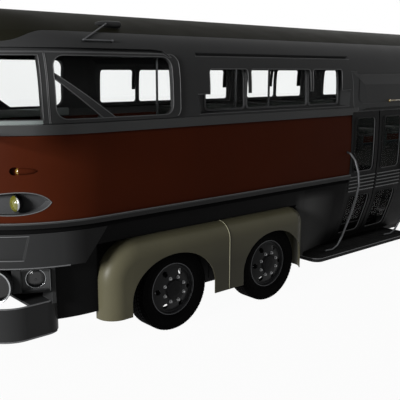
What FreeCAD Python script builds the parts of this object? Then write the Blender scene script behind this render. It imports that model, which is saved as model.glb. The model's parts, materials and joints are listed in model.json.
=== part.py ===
"""Articulated twin-steer coach with a rounded retro body, millimetres.

+X points forward, +Y to the left and +Z up. The origin is on the ground, midway along and across the bus.
The front section stands on two steered axles and a twin-tyred drive axle. The rear section stands on one
twin-tyred axle and hinges on the front one at a turntable inside the bellows.
"""
import FreeCAD, Part
import math
import os

V = FreeCAD.Vector

# Overall layout along the bus
LENGTH = 18500.0
FRONT_OVERHANG = 2400.0
STEER_SPACING = 1600.0
WHEELBASE = 6900.0
FRONT_BODY_LENGTH = 11400.0
GANGWAY_LENGTH = 1200.0
REAR_AXLE_SETBACK = 2900.0

# Widths, half of each
HALF_WIDTH = 1250.0
FENDER_HALF_WIDTH = 1275.0
SKIRT_HALF_WIDTH = 1080.0
SIDE_REACH_OUT = 1487.0
ROOF_HALF_WIDTH = 1000.0
CANT_HALF_WIDTH = 1140.0

# Heights above the road
BODY_BOTTOM = 450.0
FLOOR_TOP = 1480.0
BAND_BOTTOM = 1540.0
BAND_TOP = 2400.0
BELT_TOP = 2500.0
CANT_HEIGHT = 3240.0
ROOF_EDGE = 3400.0
ROOF_TOP = 3660.0

# Walls and clearances
WALL = 50.0
FLOOR_THICKNESS = 60.0
GLASS = 6.0
RUNNING_GAP = 6.0
FIT = 0.3
OVERRUN = 20.0

# How far the nose and tail outlines reach, as shares of the half width there
NOSE_REACH_SHARE = 1.12
TAIL_REACH_SHARE = 0.36

RAIL_PROUD = 20.0
NOSE_X = LENGTH / 2 - RAIL_PROUD
TAIL_X = RAIL_PROUD - LENGTH / 2
AXLE_1 = NOSE_X - FRONT_OVERHANG
AXLE_2 = AXLE_1 - STEER_SPACING
DRIVE_AXLE = AXLE_1 - WHEELBASE
FRONT_END = NOSE_X - FRONT_BODY_LENGTH
REAR_START = FRONT_END - GANGWAY_LENGTH
PIVOT = (FRONT_END + REAR_START) / 2
REAR_AXLE = REAR_START - REAR_AXLE_SETBACK

FRONT = (FRONT_END, NOSE_X, NOSE_REACH_SHARE)
REAR = (REAR_START, TAIL_X, TAIL_REACH_SHARE)
LEFT = 1
RIGHT = -1


def box(x0, x1, y0, y1, z0, z1):
    return Part.makeBox(abs(x1 - x0), abs(y1 - y0), abs(z1 - z0), V(min(x0, x1), min(y0, y1), min(z0, z1)))


def polygon(points):
    return Part.Face(Part.makePolygon(points + points[:1]))


def prism_x(yz, x0, x1):
    return polygon([V(x0, y, z) for y, z in yz]).extrude(V(x1 - x0, 0, 0))


def prism_y(xz, y0, y1):
    return polygon([V(x, y0, z) for x, z in xz]).extrude(V(0, y1 - y0, 0))


def rod_y(x, z, radius, y0, y1):
    return Part.makeCylinder(radius, abs(y1 - y0), V(x, min(y0, y1), z), V(0, 1, 0))


def rod_z(x, y, radius, z0, z1):
    return Part.makeCylinder(radius, abs(z1 - z0), V(x, y, min(z0, z1)), V(0, 0, 1))


def rod_x(y, z, radius, x0, x1):
    return Part.makeCylinder(radius, abs(x1 - x0), V(min(x0, x1), y, z), V(1, 0, 0))


def mirrored(shape):
    """The same piece on the other side of the bus."""
    return shape.mirror(V(0, 0, 0), V(0, 1, 0))


def on_side(shape, side):
    return shape if side == LEFT else mirrored(shape)


def placed(shape, x, y, z, angle):
    """A piece built facing +X at the origin, turned about Z and moved to its place."""
    shape = shape.copy()
    shape.rotate(V(0, 0, 0), V(0, 0, 1), angle)
    shape.translate(V(x, y, z))
    return shape


def both_sides(shape):
    return [shape, mirrored(shape)]


def bar(start, end, radius):
    """A round bar between two points."""
    return Part.makeCylinder(radius, (end - start).Length, start, end - start)


def fused(shapes):
    return shapes[0].multiFuse(shapes[1:]).removeSplitter() if len(shapes) > 1 else shapes[0]


def upright_edges(solid):
    return [e for e in solid.Edges if abs(e.Vertexes[0].Z - e.Vertexes[-1].Z) > FIT]


def rounded_panel(x0, x1, z0, z1, radius, y0, y1):
    """A slab standing in the XZ plane with four rounded corners."""
    slab = box(x0, x1, y0, y1, z0, z1)
    corners = [e for e in slab.Edges if abs(e.Vertexes[0].Y - e.Vertexes[-1].Y) > abs(y1 - y0) / 2]
    return slab.makeFillet(radius, corners)


def revolve_y(ry, centre):
    """Turns a closed outline of (radius, y) points about the Y axis through a centre."""
    points = [V(centre.x, centre.y + y, centre.z + r) for r, y in ry]
    return polygon(points).revolve(centre, V(0, 1, 0), 360)


# The body outline in plan

def half_round(x, tip, half_width, z):
    """Half an ellipse from one side round the tip to the other."""
    corner_weight = math.sqrt(2) / 2
    poles = [V(x, -half_width, z), V(tip, -half_width, z), V(tip, 0, z), V(tip, half_width, z),
             V(x, half_width, z)]
    curve = Part.BSplineCurve()
    curve.buildFromPolesMultsKnots(poles, [3, 2, 3], [0, 1, 2], False, 2,
                                   [1, corner_weight, 1, corner_weight, 1])
    return curve.toShape()


def plan_wire(body, z, half_width, recess, inset=0.0, open_end=0.0):
    """Flat end, two sides and a rounded end at one height. The recess draws the rounded end back."""
    flat, tip, reach_share = body
    ahead = 1 if tip > flat else -1
    start = tip - ahead * (recess + half_width * reach_share)
    tip = tip - ahead * (recess + inset)
    flat = flat - ahead * open_end
    width = half_width - inset
    edges = [
        Part.LineSegment(V(flat, -width, z), V(start, -width, z)).toShape(),
        half_round(start, tip, width, z),
        Part.LineSegment(V(start, width, z), V(flat, width, z)).toShape(),
        Part.LineSegment(V(flat, width, z), V(flat, -width, z)).toShape(),
    ]
    return Part.Wire(edges)


def block(body, levels, inset=0.0, open_end=0.0, reach_past=0.0):
    """Solid through plan outlines at rising levels of (z, half width, recess)."""
    last = len(levels) - 1
    wires = []
    for i, (z, half_width, recess) in enumerate(levels):
        lift = -reach_past if i == 0 else reach_past if i == last else 0.0
        wires.append(plan_wire(body, z + lift, half_width, recess, inset, open_end))
    return Part.makeLoft(wires, True, len(levels) == 2)


def skin(body, levels, outer=0.0, inner=WALL):
    """The wall between two insets of the same outline, open above, below and at the flat end."""
    return block(body, levels, outer).cut(block(body, levels, inner, OVERRUN, OVERRUN))


def upright_skin(body, z0, z1, outer, inner=None):
    """A wall of constant outline between two heights, as insets of the widest outline."""
    return skin(body, upright(z0, z1), outer, outer + WALL if inner is None else inner)


def upright(z0, z1):
    return [(z0, HALF_WIDTH, 0.0), (z1, HALF_WIDTH, 0.0)]


LINING = 18.0


def recessed(shell, body, levels, wide, tight, depth):
    """The shell with lined recesses. Wide and tight are each recess's outline with and without its lining."""
    thick = skin(body, levels, 0.0, depth + LINING)
    sunk = skin(body, levels, -OVERRUN, depth)
    lined = shell.fuse([thick.common(zone) for zone in wide])
    return lined.cut([sunk.common(zone) for zone in tight])


# Each body zone as levels of height, half width and how far the nose or tail draws back
CANT_RECESS = 120.0
ROOF_RECESS = 200.0
BAND_TUCK = 12.0
BAND_LEVELS = [
    (BAND_BOTTOM, HALF_WIDTH - BAND_TUCK, BAND_TUCK),
    (BAND_BOTTOM + (BAND_TOP - BAND_BOTTOM) / 3, HALF_WIDTH, 0.0),
    (BAND_TOP - (BAND_TOP - BAND_BOTTOM) / 4, HALF_WIDTH, 0.0),
    (BAND_TOP, HALF_WIDTH - BAND_TUCK, BAND_TUCK),
]
UPPER_LEVELS = [
    (BELT_TOP, HALF_WIDTH - BAND_TUCK, BAND_TUCK),
    ((BELT_TOP + CANT_HEIGHT) / 2, (HALF_WIDTH * 3 + CANT_HALF_WIDTH) / 4, CANT_RECESS / 2),
    (CANT_HEIGHT, CANT_HALF_WIDTH, CANT_RECESS),
    (ROOF_EDGE, ROOF_HALF_WIDTH, ROOF_RECESS),
]
CROWN_SHARES = (1.0, 0.88, 0.7, 0.48, 0.22)


def crown_height(half_width, share, edge, top):
    """Height of the roof's arc at a share of its half width."""
    rise = top - edge
    radius = (half_width ** 2 + rise ** 2) / (2 * rise)
    return top - radius + math.sqrt(radius ** 2 - (share * half_width) ** 2)


def dome(body, inset=0.0, open_end=0.0):
    """The roof's crown as a solid, from its edge up."""
    half_width = ROOF_HALF_WIDTH - inset
    top = ROOF_TOP - inset
    wires = [plan_wire(body, ROOF_EDGE - OVERRUN, half_width, ROOF_RECESS + inset, 0.0,
                       open_end)] if inset else []
    for share in CROWN_SHARES:
        z = crown_height(half_width, share, ROOF_EDGE, top)
        recess = ROOF_RECESS + inset + (1 - share) * half_width / 2
        wires.append(plan_wire(body, z, share * half_width, recess, 0.0, open_end))
    return Part.makeLoft(wires, True, False)


def roof(body):
    """The painted crown, and at the front its cap over the windscreen."""
    crown = dome(body).cut(dome(body, WALL, OVERRUN))
    return crown.fuse(skin(body, UPPER_LEVELS).common(cap_zone())) if body is FRONT else crown


# Windows: bays along each side as distances behind the front axle
WINDOW_SILL = 2570.0
WINDOW_HEAD = 3035.0
WINDOW_CORNER = 45.0
PANE_RIM = 14.0
PANE_RIM_PROUD = 8.0
POCKET_DEPTH = 95.0
POCKET_AHEAD = 170.0
POCKET_BEHIND = 180.0
POCKET_BELOW = 35.0
POCKET_HEAD = 3232.0
END_PANE = 650.0
PANE_LIMIT = 1250.0
MULLION = 50.0
CAB_WINDOW = (AXLE_1 + 40.0, AXLE_1 + 1440.0)
CAB_SILL = 2545.0
CAB_HEAD = 3160.0
CAB_CORNER = 110.0
WINDSCREEN_EDGE = AXLE_1 + 1560.0
CENTRE_POST = 60.0
CAB_GLASS_INSET = 26.0
CAB_RIM_REAR = AXLE_1 - 60.0
CAB_RIM_LOW = 2508.0
CAB_RIM_HIGH = 3188.0
CAB_RIM_PROUD = 14.0
CAB_SEAM = AXLE_1 + 1500.0
SEAM_WIDTH = 12.0
GROOVE_DEPTH = 36.0
# The drip groove over the cab and the brace across its side window, ahead of the front axle and up
GROOVE_OUTLINE = ((2460, 3196), (2460, 3236), (260, 3236), (110, 3222), (30, 3150), (55, 3150),
                  (140, 3192), (260, 3196))
BRACE_GAP = 3.0
BRACE_OUTLINE = ((1480, 3022), (1480, 2977), (917, 2520), (764, 2520))
DOOR_FRONT = AXLE_1 - 3200.0
LEAF_WIDTH = 670.0
DOOR_REAR = DOOR_FRONT - 2 * LEAF_WIDTH
DOOR_TOP = 2440.0
DOOR_BOTTOM = 490.0
FRONT_BAYS = {
    LEFT: [(AXLE_1 - 2980.0, AXLE_1 - 510.0), (AXLE_1 - 8600.0, AXLE_1 - 5200.0)],
    RIGHT: [(AXLE_1 - 2980.0, AXLE_1 - 510.0), (AXLE_1 - 4850.0, AXLE_1 - 3450.0),
            (AXLE_1 - 8600.0, AXLE_1 - 5500.0)],
}
REAR_BAYS = [(REAR_START - 2750.0, REAR_START - 400.0), (REAR_START - 5100.0, REAR_START - 3300.0)]
REAR_WINDOW_HALF = 800.0
SIDE_REACH = (CANT_HALF_WIDTH * 0.8, HALF_WIDTH + OVERRUN)


def opening(x0, x1, z0, z1, radius, side, margin=0.0):
    """A cutter for a rounded hole through one side wall."""
    y0, y1 = SIDE_REACH
    return on_side(rounded_panel(x0 - margin, x1 + margin, z0 - margin, z1 + margin, radius + margin, y0,
                                 y1), side)


def pane_edges(x0, x1):
    """Short panes at both ends of a bay and equal ones between, or two halves in a short bay."""
    middle = (x1 - x0) - 2 * END_PANE
    if middle < END_PANE / 2:
        return [x0, (x0 + x1) / 2, x1]
    count = max(1, math.ceil(middle / PANE_LIMIT))
    cuts = [x0, x0 + END_PANE]
    cuts += [x0 + END_PANE + middle * (i + 1) / count for i in range(count)]
    return cuts + [x1]


def pane_spans(x0, x1):
    """Rear and front edges of each pane of a bay."""
    cuts = pane_edges(x0, x1)
    last = len(cuts) - 2
    return [(cuts[i] + (MULLION / 2 if i else 0), cuts[i + 1] - (MULLION / 2 if i < last else 0))
            for i in range(last + 1)]


def bay_panes(x0, x1, side):
    return [opening(a, b, WINDOW_SILL, WINDOW_HEAD, WINDOW_CORNER, side) for a, b in pane_spans(x0, x1)]


def wall_at(z):
    """Half width of the window storey at a height."""
    for (z0, w0, _), (z1, w1, _) in zip(UPPER_LEVELS, UPPER_LEVELS[1:]):
        if z <= z1:
            return w0 + (w1 - w0) * (z - z0) / (z1 - z0)


def pocket(x0, x1, side, margin=0.0):
    """A tapered cutter for one bay, wide at the skin and just over the panes' size inside."""
    wires = []
    for open_share, out in ((0, -POCKET_DEPTH - 2 * LINING), (1, OVERRUN)):
        rear = x0 - PANE_RIM - margin - open_share * POCKET_BEHIND
        front = x1 + PANE_RIM + margin + open_share * POCKET_AHEAD
        low = WINDOW_SILL - PANE_RIM - margin - open_share * POCKET_BELOW
        head = WINDOW_HEAD + PANE_RIM
        high = head + open_share * (POCKET_HEAD - head) + margin
        y_low, y_high = wall_at(low) + out, wall_at(high) + out
        ring = [V(rear, y_low, low), V(front, y_low, low), V(front, y_high, high), V(rear, y_high, high)]
        wires.append(Part.makePolygon(ring + ring[:1]))
    return on_side(Part.makeLoft(wires, True, True), side)


def pane_rims(body):
    """A thin raised frame round every side pane, standing on the pocket's floor."""
    sheet = skin(body, UPPER_LEVELS, POCKET_DEPTH - PANE_RIM_PROUD, POCKET_DEPTH + LINING)
    rims = []
    for x0, x1, side in bays_of(body):
        for a, b in pane_spans(x0, x1):
            ring = opening(a, b, WINDOW_SILL, WINDOW_HEAD, WINDOW_CORNER, side, PANE_RIM)
            rims.append(sheet.common(ring))
    return rims


def bays_of(body):
    bays = FRONT_BAYS if body is FRONT else {LEFT: REAR_BAYS, RIGHT: REAR_BAYS}
    return [(x0, x1, side) for side in (LEFT, RIGHT) for x0, x1 in bays[side]]


def windscreen_zone(post=0.0, margin=0.0):
    """The volume of the wraparound windscreen, in two halves if there is a post between."""
    far = NOSE_X + OVERRUN
    near = HALF_WIDTH + OVERRUN
    return [box(WINDSCREEN_EDGE - margin, far, side * post / 2, side * near, CAB_SILL - margin,
                CAB_HEAD + margin)
            for side in (LEFT, RIGHT)]


def rear_window_zone():
    half = REAR_WINDOW_HALF
    slab = box(TAIL_X - OVERRUN, TAIL_X + HALF_WIDTH / 2, -half, half, CAB_SILL, WINDOW_HEAD)
    along = [e for e in slab.Edges if abs(e.Vertexes[0].X - e.Vertexes[-1].X) > OVERRUN]
    return slab.makeFillet(CAB_CORNER, along)


def cab_zone(side):
    return opening(CAB_WINDOW[0], CAB_WINDOW[1], CAB_SILL, CAB_HEAD, CAB_CORNER, side)


def beside(outline):
    """A cutter across the whole bus from an outline of distances ahead of the front axle and heights."""
    return prism_y([(AXLE_1 + x, z) for x, z in outline], -HALF_WIDTH * 2, HALF_WIDTH * 2)


def cab_surround():
    """The raised frame round the cab's glazing with its seam, and the drip groove over it."""
    raised = skin(FRONT, UPPER_LEVELS, -CAB_RIM_PROUD, WALL)
    plate = rounded_panel(CAB_RIM_REAR, NOSE_X + 2 * CAB_CORNER, CAB_RIM_LOW, CAB_RIM_HIGH, CAB_CORNER,
                          -HALF_WIDTH - OVERRUN, HALF_WIDTH + OVERRUN)
    shallow = skin(FRONT, UPPER_LEVELS, -OVERRUN, 0.0)
    seam = box(CAB_SEAM, CAB_SEAM + SEAM_WIDTH, -HALF_WIDTH * 2, HALF_WIDTH * 2, CAB_RIM_LOW, CAB_RIM_HIGH)
    groove = skin(FRONT, UPPER_LEVELS, -OVERRUN, GROOVE_DEPTH).common(beside(GROOVE_OUTLINE))
    return raised.common(plate).cut(shallow.common(seam)), groove


def braces():
    """The slanting bar across each cab side window."""
    sheet = skin(FRONT, UPPER_LEVELS, -CAB_RIM_PROUD / 2, CAB_GLASS_INSET - BRACE_GAP)
    return sheet.common(beside(BRACE_OUTLINE))


# The painted roof comes down over the windscreen along this curve, ahead of the front axle and up
CAP_CURVE = ((1380, 3402), (1500, 3390), (1580, 3364), (1660, 3330), (1740, 3303), (1850, 3286), (2460, 3272))


def cap_zone():
    """Everything above the curve on which the roof's paint ends at the front."""
    curve = Part.BSplineCurve()
    curve.interpolate([V(AXLE_1 + x, -HALF_WIDTH, z) for x, z in CAP_CURVE])
    start, end = curve.StartPoint, curve.EndPoint
    over = [V(end.x, end.y, ROOF_TOP), V(start.x, start.y, ROOF_TOP)]
    edges = [curve.toShape(), Part.makeLine(end, over[0]), Part.makeLine(over[0], over[1]),
             Part.makeLine(over[1], start)]
    return Part.Face(Part.Wire(edges)).extrude(V(0, 2 * HALF_WIDTH, 0))


def upper_body(body):
    """The grey window storey and roof cove: each bay sunk into the wall, with its panes cut through."""
    bays = bays_of(body)
    shell = skin(body, UPPER_LEVELS)
    if body is FRONT:
        surround, groove = cab_surround()
        shell = shell.cut(cap_zone()).fuse(surround).cut(groove)
    wide = [pocket(x0, x1, side, LINING) for x0, x1, side in bays]
    tight = [pocket(x0, x1, side) for x0, x1, side in bays]
    shell = recessed(shell, body, UPPER_LEVELS, wide, tight, POCKET_DEPTH)
    shell = shell.fuse(pane_rims(body))
    holes = [pane for x0, x1, side in bays for pane in bay_panes(x0, x1, side)]
    if body is FRONT:
        holes += windscreen_zone(CENTRE_POST) + [cab_zone(side) for side in (LEFT, RIGHT)]
        return shell.cut(holes).fuse(braces())
    return shell.cut(holes + [rear_window_zone()])


def glass(body):
    """Every fixed pane: the side bays, and the windscreen and cab or the rear window."""
    inset = POCKET_DEPTH + (LINING - GLASS) / 2
    deep = skin(body, UPPER_LEVELS, inset, inset + GLASS)
    near = skin(body, UPPER_LEVELS, CAB_GLASS_INSET, CAB_GLASS_INSET + GLASS)
    panes = [deep.common(pane) for x0, x1, side in bays_of(body) for pane in bay_panes(x0, x1, side)]
    if body is FRONT:
        zones = windscreen_zone(CENTRE_POST) + [cab_zone(side) for side in (LEFT, RIGHT)]
    else:
        zones = [rear_window_zone()]
    return Part.makeCompound(panes + [near.common(zone) for zone in zones])


# Bands and rails round the body
BELT_PROUD = 12.0


def door_gap():
    """What the doorway takes out of the left side, from the sill up to the canopy."""
    inner = HALF_WIDTH - WALL - OVERRUN
    return box(DOOR_REAR, DOOR_FRONT, inner, HALF_WIDTH + WALL, DOOR_BOTTOM, DOOR_TOP)


# The headlamp nacelle's outline as distances ahead of the front axle and heights, from its tip forwards
NACELLE_TOP = ((1525, 1735), (1590, 1795), (1700, 1836), (1850, 1845), (2440, 1845))
NACELLE_LOW = ((1525, 1735), (1590, 1672), (1700, 1632), (1850, 1616), (2440, 1610))
NACELLE_INNER = 430.0
NACELLE_DEPTH = 108.0
MARKER_X = AXLE_1 + 1718.0
MARKER_Y = 1069.0
MARKER_Z = 2056.0
MARKER_ANGLE = -28.3
MARKER_FACE = 92.0
# Shares of the marker's face distance and of its radius, from its tail forwards
MARKER_SHARES = ((-1.05, 0.0), (-0.7, 0.5), (0.0, 0.9), (0.7, 1.0), (1.0, 1.0))
MARKER_RADIUS = 36.0
MARKER_HOLLOW = 40.0
MARKER_DISH = 112.0


def nacelle(margin=0.0):
    """The bullet-shaped recess round a headlamp, with a margin for its lining."""
    y = NACELLE_INNER - margin
    tip = V(AXLE_1 + NACELLE_TOP[0][0] - 2 * margin, y, NACELLE_TOP[0][1])
    upper, lower = Part.BSplineCurve(), Part.BSplineCurve()
    upper.interpolate([tip] + [V(AXLE_1 + x, y, z + margin) for x, z in NACELLE_TOP[1:]])
    lower.interpolate([tip] + [V(AXLE_1 + x, y, z - margin) for x, z in NACELLE_LOW[1:]])
    ends = Part.makeLine(upper.EndPoint, lower.EndPoint)
    return Part.Face(Part.Wire([upper.toShape(), ends, lower.toShape()])).extrude(V(0, HALF_WIDTH, 0))


def marker_body():
    """The teardrop of a side marker, tail to the rear."""
    points = [V(x * MARKER_FACE, 0, r * MARKER_RADIUS) for x, r in MARKER_SHARES]
    curve = Part.BSplineCurve()
    curve.interpolate(points)
    foot = V(points[-1].x, 0, 0)
    face = Part.Face(Part.Wire([curve.toShape(), Part.makeLine(points[-1], foot),
                                Part.makeLine(foot, points[0])]))
    return placed(face.revolve(V(0, 0, 0), V(1, 0, 0), 360), MARKER_X, MARKER_Y, MARKER_Z, MARKER_ANGLE)


def marker_hollow(margin=0.0):
    """The dark dish ahead of a side marker, as a bore across the wall."""
    return rod_y(MARKER_X + MARKER_DISH, MARKER_Z, MARKER_HOLLOW + margin, HALF_WIDTH / 2, HALF_WIDTH)


def marker_lens():
    ball = Part.makeSphere(MARKER_RADIUS * MARKER_FACE / (MARKER_FACE + PANE_RIM), V(MARKER_FACE, 0, 0))
    front = box(MARKER_FACE, 2 * MARKER_FACE, -MARKER_FACE, MARKER_FACE, -MARKER_FACE, MARKER_FACE)
    return placed(ball.common(front), MARKER_X, MARKER_Y, MARKER_Z, MARKER_ANGLE)


def band(body):
    """The painted band, with the headlamp recesses and side markers let into the nose."""
    shell = skin(body, BAND_LEVELS)
    if body is not FRONT:
        return shell
    shell = recessed(shell, body, BAND_LEVELS, both_sides(nacelle(LINING)), both_sides(nacelle()),
                     NACELLE_DEPTH)
    wide, tight = marker_hollow(LINING), marker_hollow()
    shell = recessed(shell, body, BAND_LEVELS, both_sides(wide), both_sides(tight), MARKER_HOLLOW)
    shell = shell.fuse(both_sides(marker_body()))
    return shell.cut(both_sides(marker_lens()) + [door_gap()])


def rails(body):
    """The rub rail under the painted band and the belt rail over it."""
    rings = [upright_skin(body, FLOOR_TOP, BAND_BOTTOM, -RAIL_PROUD, WALL),
             upright_skin(body, BAND_TOP, BELT_TOP, -BELT_PROUD, WALL)]
    if body is FRONT:
        rings = [ring.cut(door_gap()) for ring in rings]
    return Part.makeCompound(rings)


# Floor, chassis and stairs
DECK_HALF_WIDTH = 1225.0
RAIL_Y = 420.0
RAIL_WIDTH = 80.0
CHASSIS_TOP = 1100.0
CHASSIS_DEPTH = 220.0
CROSS_WIDTH = 120.0
STAIR_INNER = 500.0
STAIR_OUTER = 820.0
STAIR_COUNT = 5
STAIR_WALL = 30.0
DECK_BOTTOM = FLOOR_TOP - FLOOR_THICKNESS
TURNTABLE_RADIUS = 380.0
TURNTABLE_PLATE = 70.0
TURNTABLE_HEIGHT = 1240.0
PIN_RADIUS = 60.0
FOOTPLATE_GAP = 15.0


def deck(body):
    """The floor slab, with the stairs let into it at the doorway."""
    slab = block(body, upright(DECK_BOTTOM, FLOOR_TOP), HALF_WIDTH - DECK_HALF_WIDTH)
    if body is FRONT:
        slab = slab.cut(box(DOOR_REAR, DOOR_FRONT, STAIR_INNER, HALF_WIDTH + WALL, BODY_BOTTOM,
                            FLOOR_TOP + OVERRUN))
        slab = fused([slab, stairs()])
    return slab


def stairs():
    """Folded steps from the step board up to the deck, closed by a wall at each end."""
    rise = (FLOOR_TOP - BOARD_TOP) / STAIR_COUNT
    tread = (STAIR_OUTER - STAIR_INNER) / (STAIR_COUNT - 1)
    upper = [(STAIR_OUTER, BOARD_TOP)]
    for i in range(STAIR_COUNT - 1):
        upper += [(STAIR_OUTER - i * tread, BOARD_TOP + (i + 1) * rise)]
        upper += [(STAIR_OUTER - (i + 1) * tread, BOARD_TOP + (i + 1) * rise)]
    upper.append((STAIR_INNER, FLOOR_TOP))
    under = [(y - STAIR_WALL, z) for y, z in (upper[0],)]
    under += [(y - STAIR_WALL, z - STAIR_WALL) for y, z in upper[1:-1]]
    under.append((STAIR_INNER - STAIR_WALL, DECK_BOTTOM))
    steps = prism_x(upper + [(STAIR_INNER - STAIR_WALL, FLOOR_TOP)] + under[::-1], DOOR_REAR, DOOR_FRONT)
    cheek = polygon([V(DOOR_REAR, y, z) for y, z in
                     ((STAIR_OUTER, BOARD_TOP), (STAIR_OUTER, BOARD_TOP + rise), (STAIR_OUTER, FLOOR_TOP),
                      (STAIR_INNER, FLOOR_TOP), (STAIR_INNER - STAIR_WALL, DECK_BOTTOM),
                      (STAIR_OUTER - STAIR_WALL, BOARD_TOP))])
    walls = [cheek.extrude(V(-STAIR_WALL, 0, 0)),
             cheek.translated(V(DOOR_FRONT - DOOR_REAR, 0, 0)).extrude(V(STAIR_WALL, 0, 0))]
    return fused([steps] + walls)


PAD_DEPTH = 14.0
JACKS_FRONT = (AXLE_1 + 1020.0, 1900.0)
JACKS_REAR = (-4900.0,)


def ladder(x0, x1, cross_at):
    """Two chassis rails with cross members between."""
    low = CHASSIS_TOP - CHASSIS_DEPTH
    rails = [box(x0, x1, side * (RAIL_Y - RAIL_WIDTH / 2), side * (RAIL_Y + RAIL_WIDTH / 2), low, CHASSIS_TOP)
             for side in (LEFT, RIGHT)]
    inner = RAIL_Y - RAIL_WIDTH / 2
    crosses = [box(x - CROSS_WIDTH / 2, x + CROSS_WIDTH / 2, -inner, inner, low, CHASSIS_TOP)
               for x in cross_at]
    return rails + crosses


def jack_pads(xs):
    """Flat pads under the chassis rails for lifting."""
    low = CHASSIS_TOP - CHASSIS_DEPTH
    half = RAIL_WIDTH / 2
    return [box(x - half, x + half, side * (RAIL_Y - half), side * (RAIL_Y + half), low - PAD_DEPTH, low)
            for x in xs for side in (LEFT, RIGHT)]


def deck_posts(xs):
    """Stools that carry the deck on the chassis rails."""
    half = RAIL_WIDTH / 2
    return [box(x - half, x + half, side * (RAIL_Y - half), side * (RAIL_Y + half), CHASSIS_TOP, DECK_BOTTOM)
            for x in xs for side in (LEFT, RIGHT)]


def spread(x0, x1, count):
    return [x0 + (x1 - x0) * i / (count - 1) for i in range(count)]


CHASSIS_NOSE = NOSE_X - 700.0
POST_COUNT = 9


def chassis_front():
    stations = spread(FRONT_END + CROSS_WIDTH, CHASSIS_NOSE - CROSS_WIDTH, POST_COUNT)
    pieces = ladder(FRONT_END, CHASSIS_NOSE, stations) + deck_posts(stations) + jack_pads(JACKS_FRONT)
    low = TURNTABLE_HEIGHT - TURNTABLE_PLATE - RUNNING_GAP
    tongue = box(PIVOT - PIN_RADIUS, FRONT_END, -RAIL_Y, RAIL_Y, CHASSIS_TOP - CHASSIS_DEPTH,
                 low - TURNTABLE_PLATE)
    plate = rod_z(PIVOT, 0, TURNTABLE_RADIUS, CHASSIS_TOP - CHASSIS_DEPTH, low)
    pin = rod_z(PIVOT, 0, PIN_RADIUS - FIT, low, FLOOR_TOP)
    footplate = rod_z(PIVOT, 0, GANGWAY_LENGTH / 2 - FOOTPLATE_GAP, DECK_BOTTOM, FLOOR_TOP)
    seat = TYRE_RADIUS + BEAM_HALF_HEIGHT
    springs = spring_pair(AXLE_1, seat) + spring_pair(AXLE_2, seat) + spring_pair(DRIVE_AXLE,
                                                                                  TYRE_RADIUS + AXLE_TUBE)
    return fused(pieces + [tongue, plate, pin, footplate] + springs)


def chassis_rear():
    x1 = REAR_START
    x0 = TAIL_X + HALF_WIDTH * TAIL_REACH_SHARE + CROSS_WIDTH
    stations = spread(x0 + CROSS_WIDTH, x1 - CROSS_WIDTH, POST_COUNT // 2 + 1)
    pieces = ladder(x0, x1, stations) + deck_posts(stations) + jack_pads(JACKS_REAR)
    low = TURNTABLE_HEIGHT - TURNTABLE_PLATE
    eye = rod_z(PIVOT, 0, TURNTABLE_RADIUS, low, TURNTABLE_HEIGHT)
    arm = box(x1 - CROSS_WIDTH, PIVOT, -RAIL_Y / 2, RAIL_Y / 2, low, TURNTABLE_HEIGHT)
    stand = box(x1 - CROSS_WIDTH, x1 + CROSS_WIDTH / 2, -RAIL_Y, RAIL_Y, CHASSIS_TOP - CHASSIS_DEPTH,
                TURNTABLE_HEIGHT)
    bore = rod_z(PIVOT, 0, PIN_RADIUS, low - OVERRUN, TURNTABLE_HEIGHT + OVERRUN)
    return fused(pieces + [eye, arm, stand] + spring_pair(REAR_AXLE, TYRE_RADIUS + AXLE_TUBE)).cut(bore)


# The lower side walls
# Shares of half width and of the height from the door's foot to its head, up the bulging side
SIDE_SHARES = ((0.744, 0.0), (0.816, 0.082), (0.88, 0.19), (0.944, 0.318), (0.976, 0.467),
               (0.998, 0.615), (1.004, 0.77), (1.004, 0.887), (0.996, 1.0))


def side_curve(x, inset):
    height = DOOR_TOP - DOOR_BOTTOM
    points = [V(x, w * HALF_WIDTH - inset, DOOR_BOTTOM + h * height) for w, h in SIDE_SHARES]
    curve = Part.BSplineCurve()
    curve.interpolate(points)
    return curve


def side_strip(x0, x1, thickness, inset=0.0):
    """A panel that follows the bulging side between two stations."""
    outer = side_curve(x0, inset)
    inner = side_curve(x0, inset + thickness)
    head = Part.LineSegment(outer.EndPoint, inner.EndPoint)
    foot = Part.LineSegment(inner.StartPoint, outer.StartPoint)
    face = Part.Face(Part.Wire([outer.toShape(), head.toShape(), inner.toShape(), foot.toShape()]))
    return face.extrude(V(x1 - x0, 0, 0))


FENDER_LENGTH_AHEAD = 980.0
FENDER_REAR = 650.0
FENDER_TOP = 1195.0
FENDER_BOTTOM = 350.0
FENDER_NOSE_RADIUS = 450.0
FENDER_TAIL_RADIUS = 200.0
FENDER_EDGE_RADIUS = 205.0
FENDER_SHEET = 14.0
BEAD_PROUD = 4.0
ARCH_HALF = 560.0
ARCH_AHEAD = 660.0
ARCH_TOP = 965.0
BLEND_LENGTH = 750.0
SKIRT_BOTTOM = BODY_BOTTOM
SKIRT_FRONT = AXLE_1 + 1500.0
SKIRT_END = AXLE_2 - FENDER_REAR - 160.0


SKIRT_INSET = HALF_WIDTH - SKIRT_HALF_WIDTH
HOUSE_WALL = 20.0
HOUSE_BOTTOM = 650.0
STEER_HOUSE_INNER = 620.0
TWIN_HOUSE_INNER = 520.0


def wheelhouse(x_rear, x_front, inner, side):
    """The three upright panels that box a wheel in behind its fender."""
    outer = SKIRT_HALF_WIDTH - WALL
    back = box(x_rear, x_front, inner - HOUSE_WALL, inner, HOUSE_BOTTOM, DECK_BOTTOM)
    ends = [box(x, x + step, inner - HOUSE_WALL, outer, HOUSE_BOTTOM, DECK_BOTTOM)
            for x, step in ((x_rear, -HOUSE_WALL), (x_front, HOUSE_WALL))]
    return on_side(fused([back] + ends), side)


def fender_space(x_rear, x_front):
    """What a fender and its wheels take out of the lower walls on both sides."""
    return box(x_rear, x_front, -FENDER_HALF_WIDTH, FENDER_HALF_WIDTH, FENDER_BOTTOM - OVERRUN, FENDER_TOP)


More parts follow.
